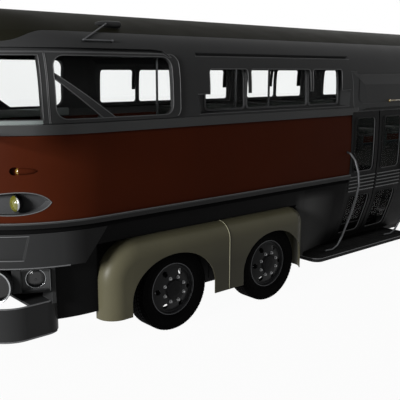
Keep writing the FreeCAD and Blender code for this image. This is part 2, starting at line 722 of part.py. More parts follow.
def blend_panel(side):
    """The hollowed panel that leads from the flat skirt out to the bulging side."""
    x0 = SKIRT_END - BLEND_LENGTH
    bulge, bulge_in = side_curve(x0, 0.0), side_curve(x0, WALL)
    head = Part.LineSegment(bulge.EndPoint, bulge_in.EndPoint)
    foot = Part.LineSegment(bulge_in.StartPoint, bulge.StartPoint)
    bulging = Part.Wire([edge.toShape() for edge in (bulge, head, bulge_in, foot)])
    y_out, y_in = SKIRT_HALF_WIDTH, SKIRT_HALF_WIDTH - WALL
    corners = [V(SKIRT_END, y_out, DOOR_BOTTOM), V(SKIRT_END, y_out, DOOR_TOP),
               V(SKIRT_END, y_in, DOOR_TOP), V(SKIRT_END, y_in, DOOR_BOTTOM)]
    panel = Part.makeLoft([bulging, Part.makePolygon(corners + corners[:1])], True, True)
    panel = panel.common(box(x0, SKIRT_END, 0, HALF_WIDTH * 2, DOOR_BOTTOM, DECK_BOTTOM))
    return on_side(panel, side)


def lower_front():
    """The dark skirt round the nose and steered wheels, and the bulging side walls behind it."""
    skirt = upright_skin(FRONT, SKIRT_BOTTOM, DECK_BOTTOM, SKIRT_INSET)
    skirt = skirt.common(box(SKIRT_END, SKIRT_FRONT, -HALF_WIDTH, HALF_WIDTH, SKIRT_BOTTOM, DECK_BOTTOM))
    skirt = skirt.cut(chin_solid(0.0, CHIN_BOTTOM, CHIN_TOP))
    walls = []
    for side in (LEFT, RIGHT):
        strip = side_strip(FRONT_END, SKIRT_END - BLEND_LENGTH, WALL)
        strip = strip.common(box(FRONT_END, SKIRT_END, 0, HALF_WIDTH * 2, DOOR_BOTTOM, DECK_BOTTOM))
        walls.append(on_side(strip, side))
        walls.append(blend_panel(side))
    whole = fused([skirt] + walls)
    houses = []
    for side in (LEFT, RIGHT):
        houses.append(wheelhouse(AXLE_2 - FENDER_REAR, AXLE_1 + FENDER_LENGTH_AHEAD, STEER_HOUSE_INNER, side))
        houses.append(wheelhouse(DRIVE_AXLE - FENDER_REAR, DRIVE_AXLE + FENDER_LENGTH_AHEAD,
                                 TWIN_HOUSE_INNER, side))
    spaces = [
        fender_space(AXLE_2 - FENDER_REAR, AXLE_1 + FENDER_LENGTH_AHEAD),
        fender_space(DRIVE_AXLE - FENDER_REAR, DRIVE_AXLE + FENDER_LENGTH_AHEAD),
        box(DOOR_REAR, DOOR_FRONT, HALF_WIDTH / 2, HALF_WIDTH * 2, 0, DECK_BOTTOM),
    ]
    return fused([whole.cut(spaces)] + houses)


TAIL_LEVEL_LIMIT = FLOOR_TOP + 4 * WALL + OVERRUN


def tail_levels():
    """The lower tail follows the bulging side's shares."""
    height = DOOR_TOP - DOOR_BOTTOM
    return [(DOOR_BOTTOM + h * height, w * HALF_WIDTH, HALF_WIDTH - w * HALF_WIDTH)
            for w, h in SIDE_SHARES if DOOR_BOTTOM + h * height < TAIL_LEVEL_LIMIT]


def lower_rear():
    walls = []
    x_tail = TAIL_X + HALF_WIDTH * TAIL_REACH_SHARE
    for side in (LEFT, RIGHT):
        strip = side_strip(x_tail, REAR_START, WALL)
        strip = strip.common(box(x_tail, REAR_START, 0, HALF_WIDTH * 2, DOOR_BOTTOM, DECK_BOTTOM))
        walls.append(on_side(strip, side))
    tail = skin(REAR, tail_levels()).common(box(TAIL_X, x_tail, -HALF_WIDTH, HALF_WIDTH, DOOR_BOTTOM,
                                                DECK_BOTTOM))
    space = fender_space(REAR_AXLE - FENDER_REAR, REAR_AXLE + FENDER_LENGTH_AHEAD)
    houses = [wheelhouse(REAR_AXLE - FENDER_REAR, REAR_AXLE + FENDER_LENGTH_AHEAD, TWIN_HOUSE_INNER, side)
              for side in (LEFT, RIGHT)]
    return fused([fused(walls + [tail]).cut(space)] + houses)


# Fenders
def fender_solid(x_rear, x_front, inset):
    """A pontoon with a big rounded nose and a rolled outer edge."""
    nose = FENDER_NOSE_RADIUS - inset
    tail = FENDER_TAIL_RADIUS - inset
    xr, xf = x_rear + inset, x_front - inset
    top = FENDER_TOP - inset
    low = FENDER_BOTTOM - (OVERRUN if inset else 0)
    y0 = SKIRT_HALF_WIDTH - WALL - (OVERRUN if inset else 0)
    y1 = FENDER_HALF_WIDTH - inset
    turn = math.sqrt(2) / 2
    a, b = V(xr, y0, low), V(xr, y0, top - tail)
    c = V(xr + tail, y0, top)
    mid_tail = V(xr + tail - tail * turn, y0, top - tail + tail * turn)
    d, e = V(xf - nose, y0, top), V(xf, y0, top - nose)
    mid_nose = V(xf - nose + nose * turn, y0, top - nose + nose * turn)
    f = V(xf, y0, low)
    edges = [
        Part.LineSegment(a, b).toShape(), Part.Arc(b, mid_tail, c).toShape(),
        Part.LineSegment(c, d).toShape(), Part.Arc(d, mid_nose, e).toShape(),
        Part.LineSegment(e, f).toShape(), Part.LineSegment(f, a).toShape(),
    ]
    body = Part.Face(Part.Wire(edges)).extrude(V(0, y1 - y0, 0))
    outer = [edge for edge in body.Edges if all(abs(v.Y - y1) < FIT for v in edge.Vertexes)]
    rolled = [edge for edge in outer if any(abs(v.Z - low) > FIT for v in edge.Vertexes)]
    return body.makeFillet(FENDER_EDGE_RADIUS - inset, rolled)


def arch(x_wheel, ahead=ARCH_HALF):
    """The wheel opening: half an ellipse with straight sides down, its reach ahead of the axle as given."""
    y0, y1 = SKIRT_HALF_WIDTH - WALL - OVERRUN, FENDER_HALF_WIDTH + OVERRUN
    half = (ahead + ARCH_HALF) / 2
    middle = x_wheel + ahead - half
    side = V(middle + half, y0, TYRE_RADIUS)
    curve = Part.Ellipse(side, V(middle, y0, ARCH_TOP), V(middle, y0, TYRE_RADIUS)).toShape()
    round_part = Part.Face(Part.Wire(curve)).extrude(V(0, y1 - y0, 0))
    foot = FENDER_BOTTOM - 2 * OVERRUN
    return round_part.fuse(box(middle - half, middle + half, y0, y1, foot, TYRE_RADIUS))


def fenders(wheels):
    """A fender on each side over the given wheel stations, front one first."""
    x_rear, x_front = wheels[-1] - FENDER_REAR, wheels[0] + FENDER_LENGTH_AHEAD
    shell = fender_solid(x_rear, x_front, 0.0)
    if len(wheels) > 1:
        seam = (wheels[0] + wheels[-1]) / 2
        strip = box(seam - SEAM_WIDTH / 2, seam + SEAM_WIDTH / 2, SKIRT_HALF_WIDTH, 2 * HALF_WIDTH,
                    FENDER_BOTTOM, 2 * FENDER_TOP)
        shell = shell.fuse(fender_solid(x_rear, x_front, -BEAD_PROUD).common(strip))
    shell = shell.cut(fender_solid(x_rear, x_front, FENDER_SHEET))
    shell = shell.cut([arch(wheels[0], ARCH_AHEAD)] + [arch(x) for x in wheels[1:]])
    return [shell, mirrored(shell)]


# Wheels
TYRE_RADIUS = 500.0
TYRE_WIDTH = 280.0
TRACK_HALF = 1040.0
SEAT_RADIUS = 286.0
FLANGE_RADIUS = 308.0
RIM_WIDTH = 230.0
RIM_SHEET = 14.0
KINGPIN_OFFSET = 60.0
HUB_RADIUS = 95.0
STUB_RADIUS = 40.0
HAND_HOLES = 6
HAND_HOLE_RADIUS = 30.0
HAND_HOLE_CIRCLE = 208.0
TWIN_SPACING = 320.0
TWIN_DISC_SHEET = 28.0
# Shares of the radius step from bead to tread, and of the half width, round a tyre's outer face
TYRE_SHARES = ((0.0, 0.715), (0.115, 0.715), (0.17, 0.88), (0.5, 1.0), (0.78, 0.97), (0.93, 0.88),
               (1.0, 0.72))


def tyre(x, y):
    depth = TYRE_RADIUS - SEAT_RADIUS
    half = TYRE_WIDTH / 2
    outer = [(SEAT_RADIUS + r * depth, w * half) for r, w in TYRE_SHARES]
    outline = outer + [(r, -w) for r, w in reversed(outer)]
    return revolve_y(outline, V(x, y, TYRE_RADIUS))


def barrel_outline():
    """The rim's barrel with a flange at each edge."""
    half = RIM_WIDTH / 2
    inner = SEAT_RADIUS - RIM_SHEET
    return [(inner, -half), (FLANGE_RADIUS, -half), (FLANGE_RADIUS, -half + RIM_SHEET),
            (SEAT_RADIUS - FIT, -half + RIM_SHEET), (SEAT_RADIUS - FIT, half - RIM_SHEET),
            (FLANGE_RADIUS, half - RIM_SHEET), (FLANGE_RADIUS, half), (inner, half)]


DISH_EDGE = 45.0
DISH_CROWN = 108.0
DISH_FLAT_RADIUS = 165.0
# Shares of the way from the rim in to the flat, and of the crown's height there
DISH_SHARES = ((0.0, 0.0), (0.12, 0.3), (0.3, 0.58), (0.52, 0.82), (0.76, 0.95), (1.0, 1.0))


def steer_rim(x, side):
    """A convex disc wheel with hand holes, on its hub."""
    centre = V(x, TRACK_HALF, TYRE_RADIUS)
    barrel = revolve_y(barrel_outline(), centre)
    inner = SEAT_RADIUS - RIM_SHEET / 2
    outer = [(inner + r * (DISH_FLAT_RADIUS - inner), DISH_EDGE + w * (DISH_CROWN - DISH_EDGE))
             for r, w in DISH_SHARES] + [(STUB_RADIUS + FIT, DISH_CROWN)]
    disc = revolve_y(outer + [(r, y - RIM_SHEET) for r, y in reversed(outer)], centre)
    hub = revolve_y([(STUB_RADIUS + FIT, DISH_EDGE), (HUB_RADIUS, DISH_EDGE),
                     (HUB_RADIUS, DISH_CROWN + RIM_SHEET * 2),
                     (STUB_RADIUS + FIT, DISH_CROWN + RIM_SHEET * 2)], centre)
    wheel = fused([barrel, disc, hub])
    for i in range(HAND_HOLES):
        angle = 2 * math.pi * i / HAND_HOLES
        hx = x + HAND_HOLE_CIRCLE * math.cos(angle)
        hz = TYRE_RADIUS + HAND_HOLE_CIRCLE * math.sin(angle)
        wheel = wheel.cut(rod_y(hx, hz, HAND_HOLE_RADIUS, TRACK_HALF, TRACK_HALF + RIM_WIDTH))
    return on_side(wheel, side)


def twin_rim(x, side):
    """Two barrels bolted back to back on one hub, the outer one dished inwards."""
    wheels = []
    for k in (0, 1):
        centre = V(x, TRACK_HALF - k * TWIN_SPACING, TYRE_RADIUS)
        wheels.append(revolve_y(barrel_outline(), centre))
    centre = V(x, TRACK_HALF, TYRE_RADIUS)
    inner = SEAT_RADIUS - RIM_SHEET / 2
    mount = -TWIN_SPACING / 2
    sheet = TWIN_DISC_SHEET
    foot = RIM_SHEET - RIM_WIDTH / 2
    disc = revolve_y([(inner, foot), (inner, foot + sheet), (DISH_FLAT_RADIUS, mount + sheet),
                      (DISH_FLAT_RADIUS, mount)], centre)
    foot_in = 2 * mount - foot
    disc_in = revolve_y([(inner, foot_in), (inner, foot_in - sheet), (DISH_FLAT_RADIUS, mount - sheet),
                         (DISH_FLAT_RADIUS, mount)], centre)
    bore, collar = AXLE_SPINDLE + FIT, DISH_FLAT_RADIUS + RIM_SHEET
    hub = revolve_y([(bore, mount - 2 * sheet), (collar, mount - 2 * sheet), (collar, mount + 2 * sheet),
                     (HUB_RADIUS, mount + 2 * sheet), (HUB_RADIUS, DISH_EDGE), (bore, DISH_EDGE)], centre)
    return on_side(fused(wheels + [disc, disc_in, hub]), side)


def twin_tyres(x, side):
    pair = [tyre(x, side * TRACK_HALF), tyre(x, side * (TRACK_HALF - TWIN_SPACING))]
    return Part.makeCompound(pair)


# Axles
BEAM_HALF_HEIGHT = 55.0
BEAM_HALF_WIDTH = 50.0
KINGPIN_RADIUS = 30.0
KINGPIN_BOSS = 55.0
KINGPIN_REACH = 120.0
KINGPIN_Y = TRACK_HALF - KINGPIN_OFFSET
AXLE_SPINDLE = 60.0
AXLE_TUBE = 75.0
DIFF_RADIUS = 210.0
SPRING_HALF_LENGTH = 620.0
SPRING_WIDTH = 70.0
SPRING_DEPTH = 60.0


def steer_axle(x):
    beam = box(x - BEAM_HALF_WIDTH, x + BEAM_HALF_WIDTH, -KINGPIN_Y, KINGPIN_Y,
               TYRE_RADIUS - BEAM_HALF_HEIGHT, TYRE_RADIUS + BEAM_HALF_HEIGHT)
    half = BEAM_HALF_HEIGHT
    bosses = [rod_z(x, side * KINGPIN_Y, KINGPIN_BOSS, TYRE_RADIUS - half, TYRE_RADIUS + half)
              for side in (LEFT, RIGHT)]
    bores = [rod_z(x, side * KINGPIN_Y, KINGPIN_RADIUS + FIT, 0, 2 * TYRE_RADIUS) for side in (LEFT, RIGHT)]
    return fused([beam] + bosses).cut(bores)


def knuckle(x, side):
    """Kingpin, fork arms, upright and stub axle."""
    low, high = TYRE_RADIUS - KINGPIN_REACH, TYRE_RADIUS + KINGPIN_REACH
    gap = BEAM_HALF_HEIGHT + FIT
    pin = rod_z(x, KINGPIN_Y, KINGPIN_RADIUS, low, high)
    reach = KINGPIN_Y + KINGPIN_BOSS + RUNNING_GAP
    arms = []
    for z0, z1 in ((low, TYRE_RADIUS - gap), (TYRE_RADIUS + gap, high)):
        arms.append(rod_z(x, KINGPIN_Y, KINGPIN_BOSS, z0, z1))
        arms.append(box(x - STUB_RADIUS, x + STUB_RADIUS, KINGPIN_Y, reach, z0, z1))
    upright = box(x - STUB_RADIUS, x + STUB_RADIUS, reach, reach + RIM_SHEET * 2, low, high)
    stub = rod_y(x, TYRE_RADIUS, STUB_RADIUS, reach, TRACK_HALF + DISH_CROWN)
    return on_side(fused([pin, upright, stub] + arms), side)


def solid_axle(x, driven):
    """A twin-tyre axle: tube, spindles and, where driven, the differential."""
    tube_end = TRACK_HALF - TWIN_SPACING - TYRE_WIDTH / 2 - RUNNING_GAP
    pieces = [rod_y(x, TYRE_RADIUS, AXLE_TUBE, -tube_end, tube_end),
              rod_y(x, TYRE_RADIUS, AXLE_SPINDLE, -TRACK_HALF - DISH_EDGE, TRACK_HALF + DISH_EDGE)]
    if driven:
        pieces.append(Part.makeSphere(DIFF_RADIUS, V(x, 0, TYRE_RADIUS)))
    return fused(pieces)


def spring_pair(x, seat):
    """Two leaf springs with hangers up to the chassis rails."""
    low = CHASSIS_TOP - CHASSIS_DEPTH
    half = SPRING_WIDTH / 2
    springs = []
    for side in (LEFT, RIGHT):
        y0, y1 = side * (RAIL_Y - half), side * (RAIL_Y + half)
        leaf = box(x - SPRING_HALF_LENGTH, x + SPRING_HALF_LENGTH, y0, y1, seat, seat + SPRING_DEPTH)
        ends = [box(x + e * SPRING_HALF_LENGTH, x + e * (SPRING_HALF_LENGTH - SPRING_DEPTH), y0, y1, seat,
                    low)
                for e in (-1, 1)]
        springs.append(fused([leaf] + ends))
    return springs


# Doors
LEAF_THICKNESS = 40.0
DOOR_GAP = 6.0
MEETING_GAP = 14.0
HINGE_Y = HALF_WIDTH * max(width for width, height in SIDE_SHARES) + 1.5
GLASS_BORDER = 75.0
UPPER_PANE = (1560.0, 2350.0)
LOWER_PANE = (600.0, 1200.0)
PANE_CORNER = 60.0
LEAF_RIM = 10.0
BAR_PROUD = 12.0
BAR_HALF = 8.0
BAR_HEIGHTS = (1280.0, 1333.0, 1386.0, 1438.0, 1490.0)


def door_panes(x0, x1):
    a, b = x0 + GLASS_BORDER, x1 - GLASS_BORDER
    y0, y1 = HALF_WIDTH / 2, HALF_WIDTH + WALL
    return [rounded_panel(a, b, z0, z1, PANE_CORNER, y0, y1) for z0, z1 in (UPPER_PANE, LOWER_PANE)]


def door_trim(x0, x1):
    """Raised rims round the panes and the row of bars between them."""
    a, b = x0 + GLASS_BORDER, x1 - GLASS_BORDER
    wide = [rounded_panel(a - LEAF_RIM, b + LEAF_RIM, z0 - LEAF_RIM, z1 + LEAF_RIM, PANE_CORNER + LEAF_RIM,
                          HALF_WIDTH / 2, HALF_WIDTH + WALL) for z0, z1 in (UPPER_PANE, LOWER_PANE)]
    proud = side_strip(x0, x1, LEAF_THICKNESS / 2 + LEAF_RIM, -LEAF_RIM)
    bars = side_strip(x0 + LEAF_RIM, x1 - LEAF_RIM, LEAF_THICKNESS / 2 + BAR_PROUD, -BAR_PROUD)
    rows = [box(x0, x1, 0, HALF_WIDTH * 2, z - BAR_HALF, z + BAR_HALF) for z in BAR_HEIGHTS]
    return [proud.common(rim) for rim in wide] + [bars.common(row) for row in rows]


def door_span(index):
    """Rear and front edges of a leaf: close at its hinge, wider where the two leaves meet."""
    if index:
        return DOOR_REAR + DOOR_GAP, DOOR_REAR + LEAF_WIDTH - MEETING_GAP
    return DOOR_FRONT - LEAF_WIDTH + MEETING_GAP, DOOR_FRONT - DOOR_GAP


def door_leaf(index):
    """A leaf with its two windows and the long hinge along its outer edge."""
    x0, x1 = door_span(index)
    leaf = side_strip(x0, x1, LEAF_THICKNESS)
    leaf = leaf.common(box(x0, x1, 0, HALF_WIDTH * 2, DOOR_BOTTOM + DOOR_GAP, DOOR_TOP - DOOR_GAP))
    hinge = rod_z(x0 if index else x1, HINGE_Y, DOOR_GAP - FIT, FLOOR_TOP, DOOR_TOP - DOOR_GAP)
    return fused([leaf, hinge] + door_trim(x0, x1)).cut(door_panes(x0, x1))


def door_glass(index):
    x0, x1 = door_span(index)
    sheet = side_strip(x0, x1, GLASS, LEAF_THICKNESS / 2)
    return Part.makeCompound([sheet.common(pane) for pane in door_panes(x0, x1)])


# Handrails, step board and canopy
BOARD_INNER = 750.0
BOARD_OUTER = 1270.0
BOARD_TOP = 400.0
BOARD_THICKNESS = 50.0
BOARD_FRONT = AXLE_1 - 2500.0
BOARD_REAR = DOOR_REAR - 350.0
BOARD_CORNER = 120.0
HANDRAIL_RADIUS = 16.0
HANDRAIL_OFFSET = 80.0
HANDRAIL_TOP = 1890.0
# Along a grab rail: steps forward, shares of its outward reach, and of its height above the step board
HANDRAIL_POINTS = ((0, 0.8, 1.0), (0, 0.885, 0.98), (0, 0.945, 0.92), (0, 0.988, 0.81), (0, 1.0, 0.7),
                   (0, 0.975, 0.56),
                   (0, 0.93, 0.42), (0, 0.875, 0.28), (0, 0.82, 0.14), (30, 0.79, 0.06), (95, 0.765, 0.02),
                   (190, 0.735, 0.012))


def step_board():
    board = box(BOARD_REAR, BOARD_FRONT, BOARD_INNER, BOARD_OUTER, BOARD_TOP - BOARD_THICKNESS, BOARD_TOP)
    corners = [e for e in upright_edges(board) if e.Vertexes[0].Y > BOARD_OUTER - FIT]
    return board.makeFillet(BOARD_CORNER, corners)


def handrail(x):
    """A bowed grab rail from the painted band down to the step board, where its foot curls forwards."""
    height = HANDRAIL_TOP - BOARD_TOP
    reach = SIDE_REACH_OUT - HANDRAIL_RADIUS
    points = [V(x + step, w * reach, BOARD_TOP + h * height) for step, w, h in HANDRAIL_POINTS]
    runs = [bar(a, b, HANDRAIL_RADIUS) for a, b in zip(points, points[1:])]
    joints = [Part.makeSphere(HANDRAIL_RADIUS, p) for p in points[1:]]
    return fused(runs + joints).cut([block(FRONT, BAND_LEVELS), step_board()])


CANOPY_OUTER = 1330.0
CANOPY_TOP = 3150.0
CANOPY_TAPER = 320.0
CANOPY_PANEL = 14.0
CANOPY_PANEL_LOW = 2560.0
CANOPY_PANEL_HIGH = 3060.0
CANOPY_PANEL_CORNER = 90.0
CANOPY_PANEL_INSET = 150.0
TUBE_LAMP_RADIUS = 18.0
TUBE_LAMP_Z = 2585.0
TUBE_LAMP_HALF = 180.0
TUBE_LAMP_X = AXLE_1 - 4180.0


def canopy_ends():
    return DOOR_REAR - HANDRAIL_OFFSET * 2, DOOR_FRONT + HANDRAIL_OFFSET / 2


def canopy_bulge():
    """The bulge over the doors, wide at the wall and narrowing outwards."""
    x0, x1 = canopy_ends()
    inner = CANT_HALF_WIDTH
    low = DOOR_TOP + DOOR_GAP
    profile = prism_x([(inner, low), (HALF_WIDTH, low), (CANOPY_OUTER, BELT_TOP),
                       (CANOPY_OUTER - WALL / 2, (BELT_TOP + CANOPY_TOP) / 2), (inner, CANOPY_TOP)], x0, x1)
    plan = [(x0, inner), (x0, HALF_WIDTH - WALL), (x0 + CANOPY_TAPER, CANOPY_OUTER),
            (x1 - CANOPY_TAPER, CANOPY_OUTER),
            (x1, HALF_WIDTH - WALL), (x1, inner)]
    return profile.common(polygon([V(x, y, low) for x, y in plan]).extrude(V(0, 0, CANOPY_TOP - low)))


def canopy():
    """The bulge with its sunk panel."""
    x0, x1 = canopy_ends()
    bulge = canopy_bulge()
    field = rounded_panel(x0 + CANOPY_PANEL_INSET, x1 - CANOPY_PANEL_INSET, CANOPY_PANEL_LOW,
                          CANOPY_PANEL_HIGH,
                          CANOPY_PANEL_CORNER, CANT_HALF_WIDTH, CANOPY_OUTER + OVERRUN)
    sunk = bulge.cut(bulge.translated(V(0, -CANOPY_PANEL, 0))).common(field)
    shells = block(FRONT, UPPER_LEVELS).fuse(block(FRONT, upright(BAND_TOP, BELT_TOP), -BELT_PROUD))
    return bulge.cut([sunk, shells])


def tube_lamp():
    """The strip lamp on the canopy over the doors."""
    return rod_x(CANOPY_OUTER - TUBE_LAMP_RADIUS / 2, TUBE_LAMP_Z, TUBE_LAMP_RADIUS,
                 TUBE_LAMP_X - TUBE_LAMP_HALF, TUBE_LAMP_X + TUBE_LAMP_HALF).cut(canopy())


# Nose pieces
BUMPER_TOP = DECK_BOTTOM
BUMPER_BOTTOM = 1070.0
BUMPER_INSET = 15.0
BUMPER_REAR_TOP = AXLE_1 + 920.0
BUMPER_REAR_LOW = AXLE_1 + 1220.0
GRILLE_OUTLINE = ((1730, 1400), (1783, 1152), (2460, 1152), (2460, 1400))
GRILLE_DEPTH = 30.0
LAMP_BEAM_LOW = 800.0
LAMP_BEAM_INSET = 60.0
LAMP_BEAM_INNER = 235.0
# Each lower lamp's distance ahead of the front axle, half width there and heading of its face
LOWER_LAMPS = ((1703.0, 1081.0, 62.6), (2030.0, 847.0, 45.0))
LOWER_LAMP_Z = 935.0
LOWER_LAMP_HALF = 148.0
LOWER_LAMP_HEIGHT = 118.0
LOWER_LAMP_RADIUS = 104.0
LOWER_LAMP_SUNK = 150.0
LOWER_LAMP_LENGTH = 50.0
END_PLATE = 40.0
END_PLATE_INNER = 900.0
CHIN_TOP = 700.0
CHIN_BOTTOM = 350.0
CHIN_REAR = AXLE_1 + 1400.0
CHIN_HALF_WIDTH = 1090.0
CHIN_REACH_SHARE = 0.5
CHIN_CORNER = 190.0
CHIN_SHEET = 25.0
CHIN_SHELF_END = AXLE_1 + 1770.0
CHIN_INNER = 560.0
CHIN = (CHIN_REAR, NOSE_X - OVERRUN, CHIN_REACH_SHARE)


def bumper_upper():
    """The grey panel under the rub rail, wrapping the nose, with slanted ends and a sunk grille field."""
    ring = upright_skin(FRONT, BUMPER_BOTTOM, BUMPER_TOP, BUMPER_INSET, SKIRT_INSET)
    behind = prism_y([(FRONT_END - OVERRUN, BUMPER_BOTTOM - OVERRUN),
                      (BUMPER_REAR_LOW, BUMPER_BOTTOM - OVERRUN),
                      (BUMPER_REAR_TOP, BUMPER_TOP + OVERRUN), (FRONT_END - OVERRUN, BUMPER_TOP + OVERRUN)],
                     -HALF_WIDTH * 2, HALF_WIDTH * 2)
    field = upright_skin(FRONT, BUMPER_BOTTOM, BUMPER_TOP, -OVERRUN, BUMPER_INSET + GRILLE_DEPTH)
    return ring.cut([behind, field.common(beside(GRILLE_OUTLINE))])


def at_lower_lamp(shape, lamp):
    x, y, heading = lamp
    return placed(shape, AXLE_1 + x, y, LOWER_LAMP_Z, heading)


def lamp_beam():
    """The member under the bumper with square pockets for the lower lamps."""
    ring = upright_skin(FRONT, LAMP_BEAM_LOW, BUMPER_BOTTOM, LAMP_BEAM_INSET, LAMP_BEAM_INNER)
    ring = ring.common(box(SKIRT_FRONT, NOSE_X, -HALF_WIDTH, HALF_WIDTH, LAMP_BEAM_LOW, BUMPER_BOTTOM))
    half, height = LOWER_LAMP_HALF, LOWER_LAMP_HEIGHT
    hollow = box(-LOWER_LAMP_SUNK, HALF_WIDTH, -half, half, -height, height)
    pockets = [at_lower_lamp(hollow, lamp) for lamp in LOWER_LAMPS]
    return ring.cut(pockets + [mirrored(pocket_space) for pocket_space in pockets])


def end_plate():
    """The upright plate that ties the chin to the bumper."""
    plate = box(SKIRT_FRONT, SKIRT_FRONT + END_PLATE, END_PLATE_INNER, HALF_WIDTH, CHIN_TOP - CHIN_SHEET,
                BUMPER_BOTTOM)
    return plate.common(block(FRONT, upright(CHIN_BOTTOM, BUMPER_TOP), LAMP_BEAM_INSET - BUMPER_INSET))


def chin_solid(inset, low, high):
    """The chin's full volume with rounded rear corners."""
    body = (CHIN_REAR + inset, CHIN[1], CHIN_REACH_SHARE)
    solid = block(body, [(low, CHIN_HALF_WIDTH, 0.0), (high, CHIN_HALF_WIDTH, 0.0)], inset)
    corners = [e for e in upright_edges(solid) if all(abs(v.X - body[0]) < FIT for v in e.Vertexes)]
    return solid.makeFillet(CHIN_CORNER - inset, corners)


def chin():
    """The lower bumper: an upright wall, with a shelf at each rear corner and open between."""
    wall = chin_solid(0.0, CHIN_BOTTOM, CHIN_TOP)
    under = chin_solid(CHIN_SHEET, CHIN_BOTTOM - OVERRUN, CHIN_TOP - CHIN_SHEET)
    ahead = chin_solid(CHIN_SHEET, CHIN_BOTTOM - OVERRUN, CHIN_TOP + OVERRUN)
    ahead = ahead.common(box(CHIN_SHELF_END, NOSE_X, -HALF_WIDTH, HALF_WIDTH, 0, CHIN_TOP + OVERRUN))
    middle = box(CHIN_REAR - OVERRUN, CHIN_SHELF_END, -CHIN_INNER, CHIN_INNER, 0, CHIN_TOP + OVERRUN)
    return wall.cut([under, ahead, middle])


def bumpers_front():
    return fused([bumper_upper(), lamp_beam(), chin()] + both_sides(end_plate()))


# Lamps, mirrors and tail
HEADLAMP_RADIUS = 84.0
HEADLAMP_RIM = 92.0
HEADLAMP_Y = 945.0
HEADLAMP_Z = 1728.0
HEADLAMP_FACE = AXLE_1 + 1822.0
HEADLAMP_DEPTH = 82.0
RIM_LENGTH = 16.0
LENS_BULGE = 34.0
ROOF_LAMP_Y = 900.0
ROOF_LAMP_REAR = AXLE_1 + 500.0
ROOF_LAMP_LENGTH = 310.0
ROOF_LAMP_RADIUS = 35.0
ROOF_LAMP_Z = 3459.0 + ROOF_LAMP_RADIUS
# Shares of the lamp's length and radius, from its rear face to its tip
ROOF_LAMP_SHARES = ((0.0, 1.0), (0.45, 1.0), (0.8, 0.66), (1.0, 0.0))
STRUT_RADIUS = 8.0
STRUT_BALL = 17.0
STRUT_FOOT = (AXLE_1 + 1074.0, 1110.0, 3314.0)
STRUT_HEEL = (AXLE_1 + 735.0, 1110.0, 3314.0)
STRUT_HEAD = (AXLE_1 + 690.0, 934.0, 3498.0)
TAIL_LAMP_Y = 900.0
TAIL_LAMP_RADIUS = 75.0
TAIL_LAMP_Z = 1900.0
TAIL_LAMP_FACE = TAIL_X + 105.0
MIRROR_X = AXLE_1 + 2200.0
MIRROR_WIDTH = 190.0
MIRROR_DEPTH = 70.0
MIRROR_HEIGHT = 420.0
MIRROR_Z = 2450.0
MIRROR_CORNER = 23.0
MIRROR_ARM = 18.0
REAR_BUMPER_TOP = 760.0
REAR_BUMPER_BOTTOM = 480.0


def bulged(x, y, z, radius):
    """A lens cap facing forwards."""
    ball_radius = (radius ** 2 + LENS_BULGE ** 2) / (2 * LENS_BULGE)
    ball = Part.makeSphere(ball_radius, V(x + LENS_BULGE - ball_radius, y, z))
    return ball.common(rod_x(y, z, radius, x, x + 2 * LENS_BULGE))


def headlamps():
    """Round lamps standing in their nacelles, each with a rim and a bulged lens."""
    shell = rod_x(HEADLAMP_Y, HEADLAMP_Z, HEADLAMP_RADIUS, HEADLAMP_FACE - HEADLAMP_DEPTH, HEADLAMP_FACE)
    rim = rod_x(HEADLAMP_Y, HEADLAMP_Z, HEADLAMP_RIM, HEADLAMP_FACE - RIM_LENGTH, HEADLAMP_FACE)
    lamp = fused([shell, rim, bulged(HEADLAMP_FACE, HEADLAMP_Y, HEADLAMP_Z, HEADLAMP_RADIUS)])
    return both_sides(lamp.cut(block(FRONT, BAND_LEVELS, NACELLE_DEPTH, OVERRUN, OVERRUN)))


def lower_lamps():
    """The round lamps in the square pockets under the bumper."""
    reach = LOWER_LAMP_SUNK - LOWER_LAMP_LENGTH
    lamps = []
    for lamp in LOWER_LAMPS:
        drum = rod_x(0, 0, LOWER_LAMP_RADIUS, -LOWER_LAMP_SUNK, -reach)
        lamps += both_sides(at_lower_lamp(fused([drum, bulged(-reach, 0, 0, LOWER_LAMP_RADIUS)]), lamp))
    return lamps


def roof_lamps():
    """Bullet lamps over the roof's shoulders, each on a raked strut."""
    curve = Part.BSplineCurve()
    curve.interpolate([V(x * ROOF_LAMP_LENGTH, 0, r * ROOF_LAMP_RADIUS) for x, r in ROOF_LAMP_SHARES])
    start, tip, origin = curve.StartPoint, curve.EndPoint, V(0, 0, 0)
    face = Part.Face(Part.Wire([curve.toShape(), Part.makeLine(tip, origin), Part.makeLine(origin, start)]))
    bullet = face.revolve(origin, V(1, 0, 0), 360).translated(V(ROOF_LAMP_REAR, ROOF_LAMP_Y, ROOF_LAMP_Z))
    foot, heel, head = V(*STRUT_FOOT), V(*STRUT_HEEL), V(*STRUT_HEAD)
    cove = block(FRONT, UPPER_LEVELS)
    balls = [Part.makeSphere(STRUT_BALL, end).cut(cove) for end in (foot, heel)]
    return both_sides(fused([bullet, bar(foot, head, STRUT_RADIUS), bar(foot, heel, STRUT_RADIUS)] + balls))


def tail_lamps():
    lamp = rod_x(TAIL_LAMP_Y, TAIL_LAMP_Z, TAIL_LAMP_RADIUS, TAIL_LAMP_FACE, TAIL_X + HALF_WIDTH / 2)
    lamp = lamp.cut(block(REAR, BAND_LEVELS))
    return [lamp, mirrored(lamp)]


